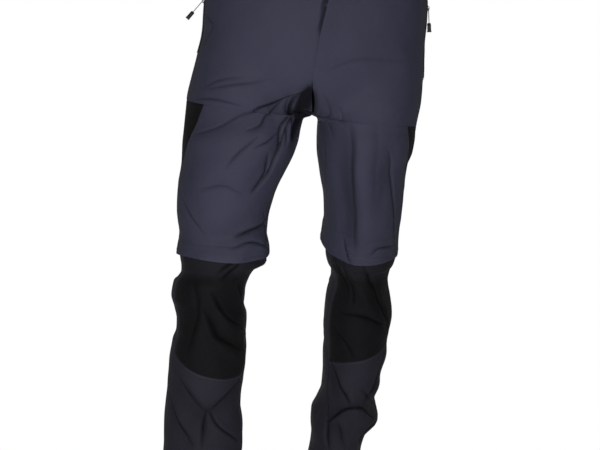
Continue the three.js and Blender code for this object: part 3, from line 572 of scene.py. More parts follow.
class Form:
    """The form of one thigh with its half of the hips, or of one lower leg."""

    def __init__(self, side, part, rows):
        self.side = side
        self.part = part
        self.sign = SIGN[side]
        self.section = {name: smooth_column(LEG_COLUMNS, rows, name) for name in LEG_COLUMNS[1:]}
        self.folds = []

    def plain(self, turn, v):
        """Points of the form without folds. turn runs from 0 at the front centre seam or
        inseam, over 0.25 in front and 0.5 at the side, to 1 at the back centre seam."""
        turn, v = np.broadcast_arrays(np.asarray(turn, float), np.asarray(v, float))
        thigh = self.part == "thigh"
        t = np.clip(turn, 0, 1) if thigh else turn
        ring = pi * (1 - 2 * t)
        outer, inner, middle = (self.section[name](v) for name in ("outer", "inner", "middle"))
        depth = np.where(np.sin(ring) > 0, self.section["front"](v), self.section["back"](v))
        outer_share = (1 + bulge(np.cos(ring), LEG_ROUNDNESS)) / 2
        inner_share = 1 - outer_share
        # Just below the crotch only the cloth beside the inseam stands off the other leg
        below = ease((CROTCH_Z - v) / INSEAM_SETTLES)
        settled = mix(inner_share**2, 1, below) if thigh else 1.0
        x = outer * outer_share + inner * inner_share * settled
        y = middle - depth * bulge(np.sin(ring), LEG_ROUNDNESS)
        if thigh:
            oval = pi * (0.5 - t)
            centre = self.sign * torso["centre"](v)
            torso_depth = np.where(np.sin(oval) > 0, torso["front"](v), torso["back"](v))
            torso_x = centre + (outer - centre) * bulge(np.cos(oval), TORSO_ROUNDNESS)
            torso_y = -torso_depth * bulge(np.sin(oval), TORSO_ROUNDNESS)
            fall = np.clip((LEG_START_Z - v) / (LEG_START_Z - CROTCH_Z), 0, 1)
            near_seam = np.cos(pi * t) ** 6
            turned_in = 1 - (1 - fall**RISE_ROUNDNESS) ** (1 / RISE_ROUNDNESS)
            leg_share = mix(ease(fall), turned_in, near_seam)
            x = mix(torso_x, x, leg_share)
            y = mix(torso_y, y, leg_share)
        step = 4.0
        lean = (self.section["middle"](v + step) - self.section["middle"](v - step)) / (2 * step)
        tilt = ease((CROTCH_Z - v) / SECTIONS_TILT) if thigh else 1.0
        return np.stack([self.sign * x, y, v - tilt * (y - middle) * lean], -1)

    def normal(self, turn, v):
        round_ = self.plain(turn + 0.004, v) - self.plain(turn - 0.004, v)
        along = self.plain(turn, v + 2) - self.plain(turn, v - 2)
        n = np.cross(round_, along) * self.sign
        return n / np.linalg.norm(n, axis=-1, keepdims=True)

    def place_in_view(self, face, x, z):
        """The turn and height on one face that show at x, z in the front view."""
        turns = np.linspace(0, 0.5, 160) if face == "front" else np.linspace(1, 0.5, 160)
        v = float(z)
        turn = 0.25
        for _ in range(4):
            line = self.plain(turns, v)
            turn = float(np.interp(self.sign * x, self.sign * line[:, 0], turns))
            v += z - float(self.plain(turn, v)[2])
        return turn, v

    def add(self, face, fold):
        places = np.array([self.place_in_view(face, x, z) for x, z in fold["path"]])
        along = np.linspace(0, len(places) - 1, 8 * (len(places) - 1) + 1)
        turns, heights = (rounded_path(places[:, k], along) for k in (0, 1))
        fold["points"] = self.plain(turns, heights)
        self.folds.append(fold)

    def folded(self, points, normals):
        """How far folds and creases move points of the form outward, and how much shade is painted
        into the cloth's colour there, from 0 in the open to 1 in the pinch of a crease."""
        height = np.zeros(len(points))
        painted_shade = np.zeros(len(points))
        for fold in self.folds:
            reach = FOLD_REACH * max(fold.get("width", 0), fold.get("slope", 0))
            line = fold["points"]
            low, high = line.min(0) - reach, line.max(0) + reach
            near = np.flatnonzero(((points > low) & (points < high)).all(-1))
            if len(near):
                profile = fold_profile if "width" in fold else crease_profile
                rise, shade = profile(fold, *line_distance(line, points[near], normals[near]))
                height[near] += rise
                painted_shade[near] = np.maximum(painted_shade[near], shade)
        # Painted shade also deepens with how far folds press the cloth in
        return height, np.clip(painted_shade + FOLD_DIM * np.clip(-height / FOLD_DIM_DEPTH, 0, 1), 0, 1)


def rounded_path(values, along):
    """Catmull-Rom values between a path's points."""
    padded = np.concatenate([[2 * values[0] - values[1]], values, [2 * values[-1] - values[-2]]])
    i = np.clip(along.astype(int), 0, len(values) - 2)
    u = along - i
    a, b, c, d = (padded[i + k] for k in range(4))
    square = 2 * a - 5 * b + 4 * c - d
    cube = 3 * b - a - 3 * c + d
    return 0.5 * (2 * b + (c - a) * u + square * u**2 + cube * u**3)


def line_distance(line, points, normals):
    """Each point's distance from a line, above zero on its left hand, and its place along."""
    best = np.full(len(points), np.inf)
    hand = np.ones(len(points))
    run = np.zeros(len(points))
    for i in range(len(line) - 1):
        start, step = line[i], line[i + 1] - line[i]
        u = np.clip(np.einsum("ij,j->i", points - start, step) / (step @ step), 0, 1)
        off = points - start - u[:, None] * step
        distance = np.einsum("ij,ij->i", off, off)
        closer = distance < best
        left = np.einsum("ij,ij->i", np.cross(normals, step), off) >= 0
        best[closer] = distance[closer]
        hand[closer] = np.where(left, 1, -1)[closer]
        run[closer] = (i + u[closer]) / (len(line) - 1)
    return hand * np.sqrt(best), run


def fold_profile(fold, distance, run):
    fade = FOLD_ENDS + (1 - FOLD_ENDS) * np.sin(pi * run)
    return -fold["depth"] * fade * np.exp(-2.2 * (distance / fold["width"]) ** 2), 0.0


def gap_profile(depth, line, distance, run):
    """A shallow gap behind an edge with steep sides, dark with painted shade, which narrows towards its end.
    """
    half = line * (1.06 - run) ** 1.6
    gap = 1 / (1 + (np.abs(distance) / half) ** 8)
    return -GAP_DEPTH * depth * gap, GAP_DIM * gap


def crease_profile(crease, distance, run):
    """A sharp line in a softer hollow that is steep on one side, and a lip on that side."""
    depth = crease["depth"]
    line, slope = crease["line"] * CREASE_WIDTH, crease["slope"] * CREASE_WIDTH
    if not slope:
        return gap_profile(depth, line, distance, run)
    away = np.abs(distance)
    across = distance * crease["bank"]
    fade = np.sin(pi * (0.04 + 0.92 * run)) ** 0.7
    sharp = np.exp(-((away / line) ** 1.6))
    soft = np.exp(-((away / np.where(across > 0, slope, 1.6 * line)) ** 2))
    lip = LIP_HEIGHT * np.exp(-(((away - LIP_PLACE * line) / (LIP_WIDTH * line)) ** 2))
    lip = lip * ease(-across / line) * (depth > 0)
    # pinch and around set how much shade is painted into the colour: in the narrow pinch of the line, and
    # over the hollow or slope beside it
    pinch = np.exp(-((away / (0.3 * line + 0.9)) ** 2))
    around = HOLLOW_DIM if line > HOLLOW_LINE else BROAD_SLOPE_DIM if slope > BROAD_SLOPE else SLOPE_DIM
    crispness = min(1.0, CRISP_LINE / line)
    painted_shade = np.clip(depth / FULL_DIM_DEPTH, 0, DIM_LIMIT) * fade
    painted_shade = painted_shade * (PINCH_DIM * crispness * pinch + around * soft)
    return depth * fade * (lip - SHARP_SHARE * sharp - SOFT_SHARE * soft), painted_shade


thighs = {side: Form(side, "thigh", THIGH[side]) for side in SIGN}
shanks = {side: Form(side, "shank", SHANK[side]) for side in SIGN}
for columns, table in ((FOLD_COLUMNS, FOLDS), (CREASE_COLUMNS, CREASES)):
    for (side, part, face), rows in table.items():
        form = (thighs if part == "thigh" else shanks)[side]
        for row in rows:
            form.add(face, dict(zip(columns, row)))


def innerness(turn):
    return (0.5 + 0.5 * np.cos(2 * pi * turn)) ** 2


def outerness(turn):
    return (0.5 - 0.5 * np.cos(2 * pi * turn)) ** 2


def zip_line(side, turn):
    return ZIPS[side]["z"] + ZIPS[side]["rise"] * innerness(turn)


def flap_edge(side, turn):
    band = ZIPS[side]
    rise = band["edge_inner_rise"] * innerness(turn) + band["edge_outer_rise"] * outerness(turn)
    return band["edge_z"] + rise


def knee_edge(side, turn):
    knee = KNEES[side]
    inner, outer = knee["inner"], knee["outer"]
    behind = mix(knee["outer_z"], knee["inner_z"], ease((turn - outer) / (1 + inner - outer)))
    u = (turn - inner) / (outer - inner)
    front = (
        knee["inner_z"] * (1 - u) * (1 - 2 * u)
        + 4 * knee["front_z"] * u * (1 - u)
        + knee["outer_z"] * u * (2 * u - 1)
    )
    return np.where(turn > outer, behind, front)


# Cloth panels

def ripple(points):
    """Small unevenness of cloth between its folds, in millimetres: broad and small waves whose
    lengths don't divide each other, so that nothing repeats."""
    x, y, z = (points[..., k] for k in range(3))
    warp = 9 * np.sin(x / 31 + 1.3) + 7 * np.sin(z / 43 - y / 37)
    broad = np.sin((z + warp) / 17 + x / 29) * np.sin((x - warp) / 23 + y / 19)
    small = np.sin((z - 1.7 * warp) / 7.3 - x / 9.1) * np.sin((x + y + warp) / 11)
    return 0.6 * broad + 0.16 * small


def skin(form, turn, v):
    """Points of the folded cloth's outer side in millimetres, the directions out of it, and
    the shade painted into the cloth's colour at each in its folds."""
    turn, v = np.broadcast_arrays(np.asarray(turn, float), np.asarray(v, float))
    base = form.plain(turn, v)
    out = form.normal(turn, v)
    rise, painted_shade = form.folded(base.reshape(-1, 3), out.reshape(-1, 3))
    uneven = RIPPLE[form.part] * ripple(base)
    return base + out * (rise.reshape(turn.shape) + uneven)[..., None], out, painted_shade.reshape(turn.shape)


def step_towards(a, b, distance):
    d = b - a
    return d / np.maximum(np.linalg.norm(d, axis=-1, keepdims=True), 1e-9) * distance


def pull_in_edges(grid, closed):
    """Moves the cut edges of a grid of points in by half a seam's gap."""
    distance = SEAM_GAP / 2
    grid[0] += step_towards(grid[0], grid[1], distance)
    grid[-1] += step_towards(grid[-1], grid[-2], distance)
    if not closed:
        grid[:, 0] += step_towards(grid[:, 0], grid[:, 1], distance)
        grid[:, -1] += step_towards(grid[:, -1], grid[:, -2], distance)
    return grid


def surface_lengths(grid):
    """Distance across and along the cloth at each point of a grid, in metres."""
    across = np.linalg.norm(np.diff(grid, axis=1), axis=-1)
    along = np.linalg.norm(np.diff(grid, axis=0), axis=-1)
    u = np.concatenate([np.zeros((grid.shape[0], 1)), np.cumsum(across, 1)], 1)
    v = np.concatenate([np.zeros((1, grid.shape[1])), np.cumsum(along, 0)], 0)
    return (u - u[:, -1:] / 2) * MM, v * MM


def wall_faces(rows, columns, closed):
    """Quads of a closed wall between two grids that follow each other in one list of points."""
    span = columns if closed else columns - 1
    i, j = np.meshgrid(np.arange(rows - 1), np.arange(span), indexing="ij")
    k = (j + 1) % columns
    corners = [i * columns + j, (i + 1) * columns + j, (i + 1) * columns + k, i * columns + k]
    outer = np.stack(corners, -1).reshape(-1, 4)
    half = rows * columns
    j = np.arange(span)
    k = (j + 1) % columns
    last = half - columns
    top = np.stack([j, k, k + half, j + half], -1)
    bottom = np.stack([last + j, last + j + half, last + k + half, last + k], -1)
    faces = [outer, (outer + half)[:, ::-1], top, bottom]
    if not closed:
        near = np.arange(rows - 1) * columns
        far = near + columns - 1
        faces.append(np.stack([near, near + half, near + columns + half, near + columns], -1))
        faces.append(np.stack([far, far + columns, far + columns + half, far + half], -1))
    return np.concatenate(faces)


def put_in_scene(name, data):
    made = bpy.data.objects.new(name, data)
    bpy.context.scene.collection.objects.link(made)
    return made


def new_piece(name, points, faces, material, uv=None, sharp=60):
    """A mesh object from points in metres."""
    mesh = bpy.data.meshes.new(name)
    mesh.from_pydata(np.asarray(points).tolist(), [], [list(map(int, face)) for face in faces])
    if uv is not None:
        corners = np.zeros(len(mesh.loops), np.int32)
        mesh.loops.foreach_get("vertex_index", corners)
        mesh.uv_layers.new(name="cloth").uv.foreach_set("vector", uv[corners].ravel())
    mesh.shade_smooth()
    mesh.set_sharp_from_angle(angle=radians(sharp))
    mesh.materials.append(material)
    return put_in_scene(name, mesh)


def cloth_wall(name, outer, inner, material, closed=False, flip=False, painted_shade=None):
    """A closed wall between two grids of points, with a UV map in metres. The shade painted into
    the cloth's colour, darkest in the pinch of a crease, is kept on its points."""
    faces = wall_faces(*outer.shape[:2], closed)
    u, v = surface_lengths(outer)
    uv = np.stack([u, -v], -1).reshape(-1, 2)
    points = np.concatenate([outer.reshape(-1, 3), inner.reshape(-1, 3)]) * MM
    faces = faces[:, ::-1] if flip else faces
    piece = new_piece(name, points, faces, material, np.tile(uv, (2, 1)))
    values = np.zeros(len(points)) if painted_shade is None else np.tile(painted_shade.ravel(), 2)
    layer = piece.data.attributes.new("painted_shade", "FLOAT", "POINT")
    layer.data.foreach_set("value", values.astype(np.float32))
    return piece


def declare_cloth(piece, stands_for, grid, closed):
    """Hangs a piece of cloth on the garment and hides the solid it stands for. The size it was
    cut to is worked out here but not kept.
    """
    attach(piece, GARMENT)
    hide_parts(stands_for)
    grid = np.concatenate([grid, grid[:, :1]], 1) if closed else grid
    u, v = surface_lengths(grid)
    down, across = np.diff(grid[:, :-1], axis=0), np.diff(grid[:-1], axis=1)
    area = np.linalg.norm(np.cross(down, across), axis=-1).sum() * MM * MM
    width, length = float(np.ptp(u, 1).max()), float(v[-1].max())
    area = float(np.clip(area, 0.3 * width * length, width * length))


def seam_dip(shape, closed, cell):
    """Cloth dips a little towards the seams at its edges."""
    rows, columns = shape
    down = np.minimum(np.arange(rows), np.arange(rows)[::-1])[:, None] + np.zeros(shape)
    across = np.minimum(np.arange(columns), np.arange(columns)[::-1])[None, :] + np.zeros(shape)
    edge = down if closed else np.minimum(down, across)
    return -SEAM_DIP * np.exp(-((edge * cell / SEAM_DIP_REACH) ** 2))


def sew_panel(
    name, form, turn, v, material, height=0.0, thickness=CLOTH, closed=False, dip=True
):
    """A cloth panel on the form, which stands for the solid of the same name."""
    points, out, painted_shade = skin(form, turn, v)
    cell = np.linalg.norm(points[0, 1] - points[0, 0])
    height = np.zeros(points.shape[:2]) + height
    if dip:
        height = height + seam_dip(height.shape, closed, cell)
    thickness = np.zeros(height.shape) + thickness
    outer = pull_in_edges(points + out * height[..., None], closed)
    inner = pull_in_edges(points + out * (height - thickness)[..., None], closed)
    piece = cloth_wall(f"{name}_cloth", outer, inner, material, closed, form.sign < 0, painted_shade)
    declare_cloth(piece, name, outer, closed)


def rows_between(top, bottom, step):
    return np.linspace(top, bottom, max(2, int(round(abs(top - bottom) / step)) + 1))


def front_turn(v, share):
    """Columns keep to their own turns, and only those near the side move with its edge."""
    return 0.5 * share + (front_edge(v) - 0.5) * share**4


def back_turn(v, share):
    return 0.5 + 0.5 * share + (back_edge(v) - 0.5) * (1 - share) ** 4


def thigh_rows(cell):
    """Heights of a thigh panel's rows above and beside the insert, close at the crotch."""
    hips = rows_between(BAND_BOTTOM, LEG_START_Z, cell)
    steps = np.linspace(0, pi / 2, int(RISE_CLOTH / cell))
    rise = mix(LEG_START_Z, INSERT_TOP_Z + INSERT_STEP, np.sin(steps))[1:]
    beside = rows_between(INSERT_TOP_Z - INSERT_STEP, INSERT_TIP_Z + INSERT_STEP, cell)
    return np.concatenate([hips, rise]), beside


def thigh_grid(side, turn_at, columns, cell):
    share = np.linspace(0, 1, columns)[None, :]
    above, beside = thigh_rows(cell)
    fixed = np.concatenate([above, beside])[:, None] + 0 * share
    end = zip_line(side, turn_at(THIGH_END_Z, share)) + ZIP_TAPE_HALF
    down = np.linspace(0, 1, int(THIGH_END_CLOTH / cell))[:, None]
    v = np.concatenate([fixed, mix(INSERT_TIP_Z - INSERT_STEP, end, down)])
    return turn_at(v, share), v


def make_thigh(side):
    form = thighs[side]
    for name, turn_at, cell in (("front", front_turn, FRONT_CELL), ("back", back_turn, BACK_CELL)):
        turn, v = thigh_grid(side, turn_at, COLUMNS[name], cell)
        sew_panel(f"{name}_{side}", form, turn, v, SLATE)
    _, beside = thigh_rows(FRONT_CELL)
    heights = beside[:, None]
    share = np.linspace(0, 1, COLUMNS["insert"])[None, :]
    turn = mix(front_edge(heights), back_edge(heights), share)
    sew_panel(f"side_insert_{side}", form, turn, heights, BLACK)


def folded_hem(v):
    """Wall thickness of a lower leg, doubled where the hem is folded up."""
    return CLOTH + CLOTH * ease((HEM_Z + HEM_DEPTH + 1.5 - v) / 1.5)


def make_shank(side):
    form = shanks[side]
    inner, outer = KNEES[side]["inner"], KNEES[side]["outer"]
    front = mix(inner, outer, np.linspace(0, 1, COLUMNS["shin"]))[None, :]
    calf = mix(outer, 1 + inner, np.linspace(0, 1, COLUMNS["calf"]))[None, :]

    def rows(turn, top, bottom, count):
        return mix(top, bottom, np.linspace(0, 1, count)[:, None]) + 0 * turn

    def knee_rows(turn, count):
        return rows(turn, zip_line(side, turn) - ZIP_TAPE_HALF, knee_edge(side, turn), count)

    def shin_rows(turn, count):
        return rows(turn, knee_edge(side, turn), HEM_Z, count)

    v = knee_rows(front, ROWS["knee"])
    sew_panel(f"knee_panel_{side}", form, front + 0 * v, v, KNEE)
    # The shin and calf take the slate nylon with painted shade
    v = shin_rows(front, ROWS["shin"])
    sew_panel(
        f"shin_panel_{side}", form, front + 0 * v, v, SLATE_SHADED,
        thickness=folded_hem(v),
    )
    beside_knee = knee_rows(calf, ROWS["calf_beside_knee"])
    v = np.concatenate([beside_knee, shin_rows(calf, ROWS["calf_beside_shin"])[1:]])
    sew_panel(
        f"calf_panel_{side}", form, calf + 0 * v, v, SLATE_SHADED, thickness=folded_hem(v)
    )


# Leg zips and the flap bands over them

def flap_fallen(side, turn, share):
    """Millimetres of cloth below the flap's top seam."""
    return share * (zip_line(side, turn) + FLAP_ABOVE_ZIP - flap_edge(side, turn))


def flap_height(side, turn, fallen):
    """How far the flap's outer side stands over the thigh, more where it covers the slider."""
    groove = FLAP_GROOVE * np.exp(-(((fallen - FLAP_STITCH[side]) / 1.3) ** 2))
    wave = 0.9 * np.sin(2 * pi * (5 * turn + 0.12)) + 0.6 * np.sin(2 * pi * (9 * turn + 0.4))
    stand = FLAP_STANDS_OFF * ease(fallen / 44) + wave * ease((fallen - 12) / 40)
    beside = (turn - LEG_SLIDER_TURN[side]) / 0.035
    over = FLAP_OVER_SLIDER * np.exp(-(beside**2)) * ease(fallen / 18)
    return 0.25 + stand + over - groove


def make_flap(side):
    form = thighs[side]
    turn = np.linspace(0, 1, COLUMNS["flap"], endpoint=False)[None, :]
    share = np.linspace(0, 1, ROWS["flap"])[:, None]
    fallen = flap_fallen(side, turn, share)
    v = zip_line(side, turn) + FLAP_ABOVE_ZIP - fallen
    v = v + 1.3 * share**3 * np.sin(2 * pi * (3 * turn + 0.2))
    height = flap_height(side, turn, fallen)
    from_edge = fallen[-1:] - fallen
    at_seam = EDGE_CLOTH + (CLOTH - EDGE_CLOTH) * ease(fallen / 6)
    thickness = at_seam + CLOTH * ease((FLAP_HEM - from_edge) / 1.5)
    sew_panel(
        f"zip_flap_{side}", form, turn + 0 * v, v, SLATE,
        height=height, thickness=thickness, closed=True, dip=False,
    )


def make_leg_zip(side):
    """The tape between the thigh and the lower leg, and its coil of teeth."""
    turn = np.linspace(0, 1, COLUMNS["leg_zip"], endpoint=False)[None, :]
    line = zip_line(side, turn)
    upper, _, _ = skin(thighs[side], turn, line + ZIP_TAPE_HALF - 0.4)
    middle, out, _ = skin(thighs[side], turn, line)
    lower, _, _ = skin(shanks[side], turn, line - ZIP_TAPE_HALF + 0.4)
    outer = np.concatenate([upper - 0.5 * out, middle - 0.3 * out, lower - 0.5 * out])
    piece = cloth_wall(f"leg_zip_{side}_tape", outer, outer - out, TAPE, True, SIGN[side] < 0)
    declare_cloth(piece, f"leg_zip_{side}", outer, True)
    teeth_paths.append((middle[0], out[0], True))


# Pieces on the fronts and the waist

def fly_width(v):
    """How far the fly flap reaches from the centre seam, in turns: a J at its lower end."""
    end = np.clip((FLY_STRAIGHT_Z - v) / (FLY_STRAIGHT_Z - FLY_END_Z), 0, 1)
    return FLY_TURNS * np.sqrt(1 - 0.9 * end**2.4)


def fly_rise(share, v):
    """How far the fly flap stands off the left front: most in the middle of its height, less
    near its end and near the waistband. share is 1 at its free edge."""
    gape = ease((v - FLY_SHUT_Z) / (FLY_OPEN_Z - FLY_SHUT_Z))
    gape = gape * (1 - 0.75 * ease((v - FLY_HELD_Z) / 30))
    return 0.25 + (FLY_RISE + FLY_GAPE * gape) * share**1.6


def make_fly():
    form = thighs["left"]
    v = rows_between(BAND_BOTTOM, FLY_END_Z, FRONT_CELL)[:, None]
    share = np.linspace(1, 0, COLUMNS["fly"])[None, :]
    turn = (1 - share) * fly_width(v)
    height = fly_rise(share, v)
    thickness = EDGE_CLOTH + 0.8 * ease(share / 0.2)
    sew_panel(
        "fly_flap", form, turn, v + 0 * share, SLATE,
        height=height, thickness=thickness, dip=False,
    )
    # The zip behind it lies across both fronts
    v = rows_between(BAND_BOTTOM - 2, FLY_END_Z + 4, FLY_TAPE_CELL)[:, None]
    halves = []
    for side in ("right", "left"):
        points, out, _ = skin(thighs[side], np.linspace(0, FLY_TAPE_TURNS, 5)[None, :], v)
        halves.append(points - FLY_TAPE_DEPTH * out)
    grid = np.concatenate([halves[0][:, :0:-1], halves[1]], 1)
    back = np.array([0.0, 1.0, 0.0])
    piece = cloth_wall("fly_zip_tape", grid, grid + back, TAPE)
    declare_cloth(piece, "fly_zip", grid, False)


def make_waistband():
    """One strip round the waist whose ends pass over each other at the front."""
    # Each span: side, first and last turn, columns, and the outer side's height at both ends
    spans = (
        ("right", LAP_END, 0, 12, 0, 0),
        ("left", 0, 1, 190, 0, 0),
        ("right", 1, 3 * LAP_END, 160, 0, 0),
        ("right", 3 * LAP_END, LAP_END, 16, 0, -UNDERLAP_DEPTH),
        ("right", LAP_END, 0, 12, -UNDERLAP_DEPTH, -UNDERLAP_DEPTH),
        ("left", 0, UNDERLAP_END, 12, -UNDERLAP_DEPTH, -UNDERLAP_DEPTH),
    )
    v = rows_between(BAND_TOP, BAND_BOTTOM, BAND_CELL)[:, None]
    puff = BAND_PUFF * np.sqrt(1 - (v / (BAND_TOP + 0.5)) ** 8) - BAND_PUFF
    outer, inner = [], []
    for side, start, end, count, low, high in spans:
        share = np.linspace(0, 1, count, endpoint=False)[None, :]
        turn = mix(start, end, share)
        form = thighs[side]
        points, out = form.plain(turn, v), form.normal(turn, v)
        height = mix(low, high, share) + puff + 0.12 * ripple(points)
        outer.append(points + out * height[..., None])
        inner.append(points + out * (height - BAND_THICKNESS)[..., None])
    outer, inner = np.concatenate(outer, 1), np.concatenate(inner, 1)
    outer, inner = (pull_in_edges(grid, False) for grid in (outer, inner))
    piece = cloth_wall("waistband_cloth", outer, inner, SLATE)
    declare_cloth(piece, "waistband", outer, False)


def make_pocket_zip(side):
    form = thighs[side]
    v = rows_between(BAND_BOTTOM, POCKET_END_Z, POCKET_TAPE_CELL)[:, None]
    turn = np.linspace(*POCKET_TURNS, COLUMNS["pocket_zip"])[None, :]
    points, out, _ = skin(form, turn, v)
    middle = 0.5 * np.exp(-(((turn - np.mean(POCKET_TURNS)) / 0.004) ** 2)) + 0 * v
    outer = points + out * (POCKET_TAPE_HEIGHT + middle)[..., None]
    inner = points + out * 0.25
    piece = cloth_wall(f"pocket_zip_{side}_tape", outer, inner, TAPE, flip=form.sign < 0)
    declare_cloth(piece, f"pocket_zip_{side}", outer, False)
    centre = COLUMNS["pocket_zip"] // 2
    teeth_paths.append((outer[:, centre], out[:, centre], False))


# What repeats along a path on the cloth: stitches and zip teeth

def path_object(name, paths):
    """Polylines in metres that carry the direction out of the cloth."""
    points, edges, outs = [], [], []
    for line, out, closed in paths:
        first = len(points)
        points += (np.asarray(line) * MM).tolist()
        outs += np.asarray(out).tolist()
        edges += [(first + k, first + k + 1) for k in range(len(line) - 1)]
        if closed:
            edges.append((first + len(line) - 1, first))
    mesh = bpy.data.meshes.new(name)
    mesh.from_pydata(points, edges, [])
    layer = mesh.attributes.new("out", "FLOAT_VECTOR", "POINT")
    layer.data.foreach_set("vector", np.array(outs).ravel())
    return put_in_scene(name, mesh)


class Tree:
    """A geometry node tree with named inputs, whose nodes come from one method."""

    def __init__(self, name, inputs):
        self.group = bpy.data.node_groups.new(name, "GeometryNodeTree")
        self.group.is_modifier = True
        face = self.group.interface
        face.new_socket("Geometry", in_out="INPUT", socket_type="NodeSocketGeometry")
        for label, value in inputs.items():
            face.new_socket(label, in_out="INPUT", socket_type="NodeSocketFloat").default_value = value
        face.new_socket("Geometry", in_out="OUTPUT", socket_type="NodeSocketGeometry")
        self.entry = self.group.nodes.new("NodeGroupInput").outputs
        self.exit = self.group.nodes.new("NodeGroupOutput").inputs

    def node(self, kind, settings=None, inputs=None):
        made = self.group.nodes.new(kind)
        for key, value in (settings or {}).items():
            setattr(made, key, value)
        for key, value in (inputs or {}).items():
            if isinstance(value, bpy.types.NodeSocket):
                self.group.links.new(value, made.inputs[key])
            else:
                made.inputs[key].default_value = value
        return made.outputs


def along_path(name, material, sizes, unit):
    """A tree that repeats a unit along paths. The unit's Z runs along and its X points out."""
    tree = Tree(name, sizes)
    curve = tree.node("GeometryNodeMeshToCurve", None, {"Mesh": tree.entry["Geometry"]})["Curve"]
    spots = tree.node(
        "GeometryNodeCurveToPoints", {"mode": "LENGTH"}, {"Curve": curve, "Length": tree.entry["Pitch"]}
    )
    out = tree.node("GeometryNodeInputNamedAttribute", {"data_type": "FLOAT_VECTOR"}, {"Name": "out"})
    along = tree.node(
        "FunctionNodeAlignRotationToVector", {"axis": "Z"}, {"Vector": spots["Tangent"]}
    )["Rotation"]
    settings = {"axis": "X", "pivot_axis": "Z"}
    turned = {"Rotation": along, "Vector": out["Attribute"]}
    stand = tree.node("FunctionNodeAlignRotationToVector", settings, turned)["Rotation"]
    jitter = tree.node(
        "FunctionNodeRandomValue",
        {"data_type": "FLOAT"},
        {"Min": 0.88, "Max": 1.08, "Seed": 7},
    )
    scale = tree.node("ShaderNodeCombineXYZ", None, {"X": 1.0, "Y": 1.0, "Z": jitter[1]})["Vector"]
    instances = tree.node(
        "GeometryNodeInstanceOnPoints",
        None,
        {"Points": spots["Points"], "Instance": unit(tree), "Rotation": stand, "Scale": scale},
    )["Instances"]
    real = tree.node("GeometryNodeRealizeInstances", None, {"Geometry": instances})["Geometry"]
    done = tree.node("GeometryNodeSetMaterial", None, {"Geometry": real, "Material": material})
    tree.group.links.new(done["Geometry"], tree.exit["Geometry"])
    return tree.group


def stitch_unit(tree):
    """One stitch of thread, lying along the seam and half sunk into the cloth."""
    rod = tree.node(
        "GeometryNodeMeshCylinder",
        None,
        {"Vertices": 6, "Radius": tree.entry["Thread radius"], "Depth": tree.entry["Stitch length"]},
    )["Mesh"]
    return tree.node("GeometryNodeTransform", None, {"Geometry": rod, "Scale": (0.8, 1.3, 1.0)})["Geometry"]


def tooth_unit(tree):
    """One turn of a zip's coil, lying across the tape."""
    rod = tree.node(
        "GeometryNodeMeshCylinder",
        None,
        {"Vertices": 6, "Radius": tree.entry["Wire radius"], "Depth": tree.entry["Coil width"]},
    )["Mesh"]
    turned = {"Geometry": rod, "Rotation": (radians(90), 0, radians(8))}
    return tree.node("GeometryNodeTransform", None, turned)["Geometry"]


def run_tree(name, group, paths, values):
    """Runs a tree over paths and keeps the result as one plain mesh."""
    path = path_object(f"{name}_paths", paths)
    modifier = path.modifiers.new(name, "NODES")
    modifier.node_group = group
    for item in group.interface.items_tree:
        if item.in_out == "INPUT" and item.name in values:
            modifier[item.identifier] = values[item.name]
    evaluated = path.evaluated_get(bpy.context.evaluated_depsgraph_get())
    piece = put_in_scene(name, bpy.data.meshes.new_from_object(evaluated))
    bpy.data.objects.remove(path)
    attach(piece, GARMENT)


def cloth_path(form, turn, v, height=0.0, closed=False):
    """A path for stitches on the cloth."""
    points, out, _ = skin(form, turn, v)
    height = np.zeros(len(points)) + height
    return points + out * (height + STITCH_HEIGHT)[:, None], out, closed


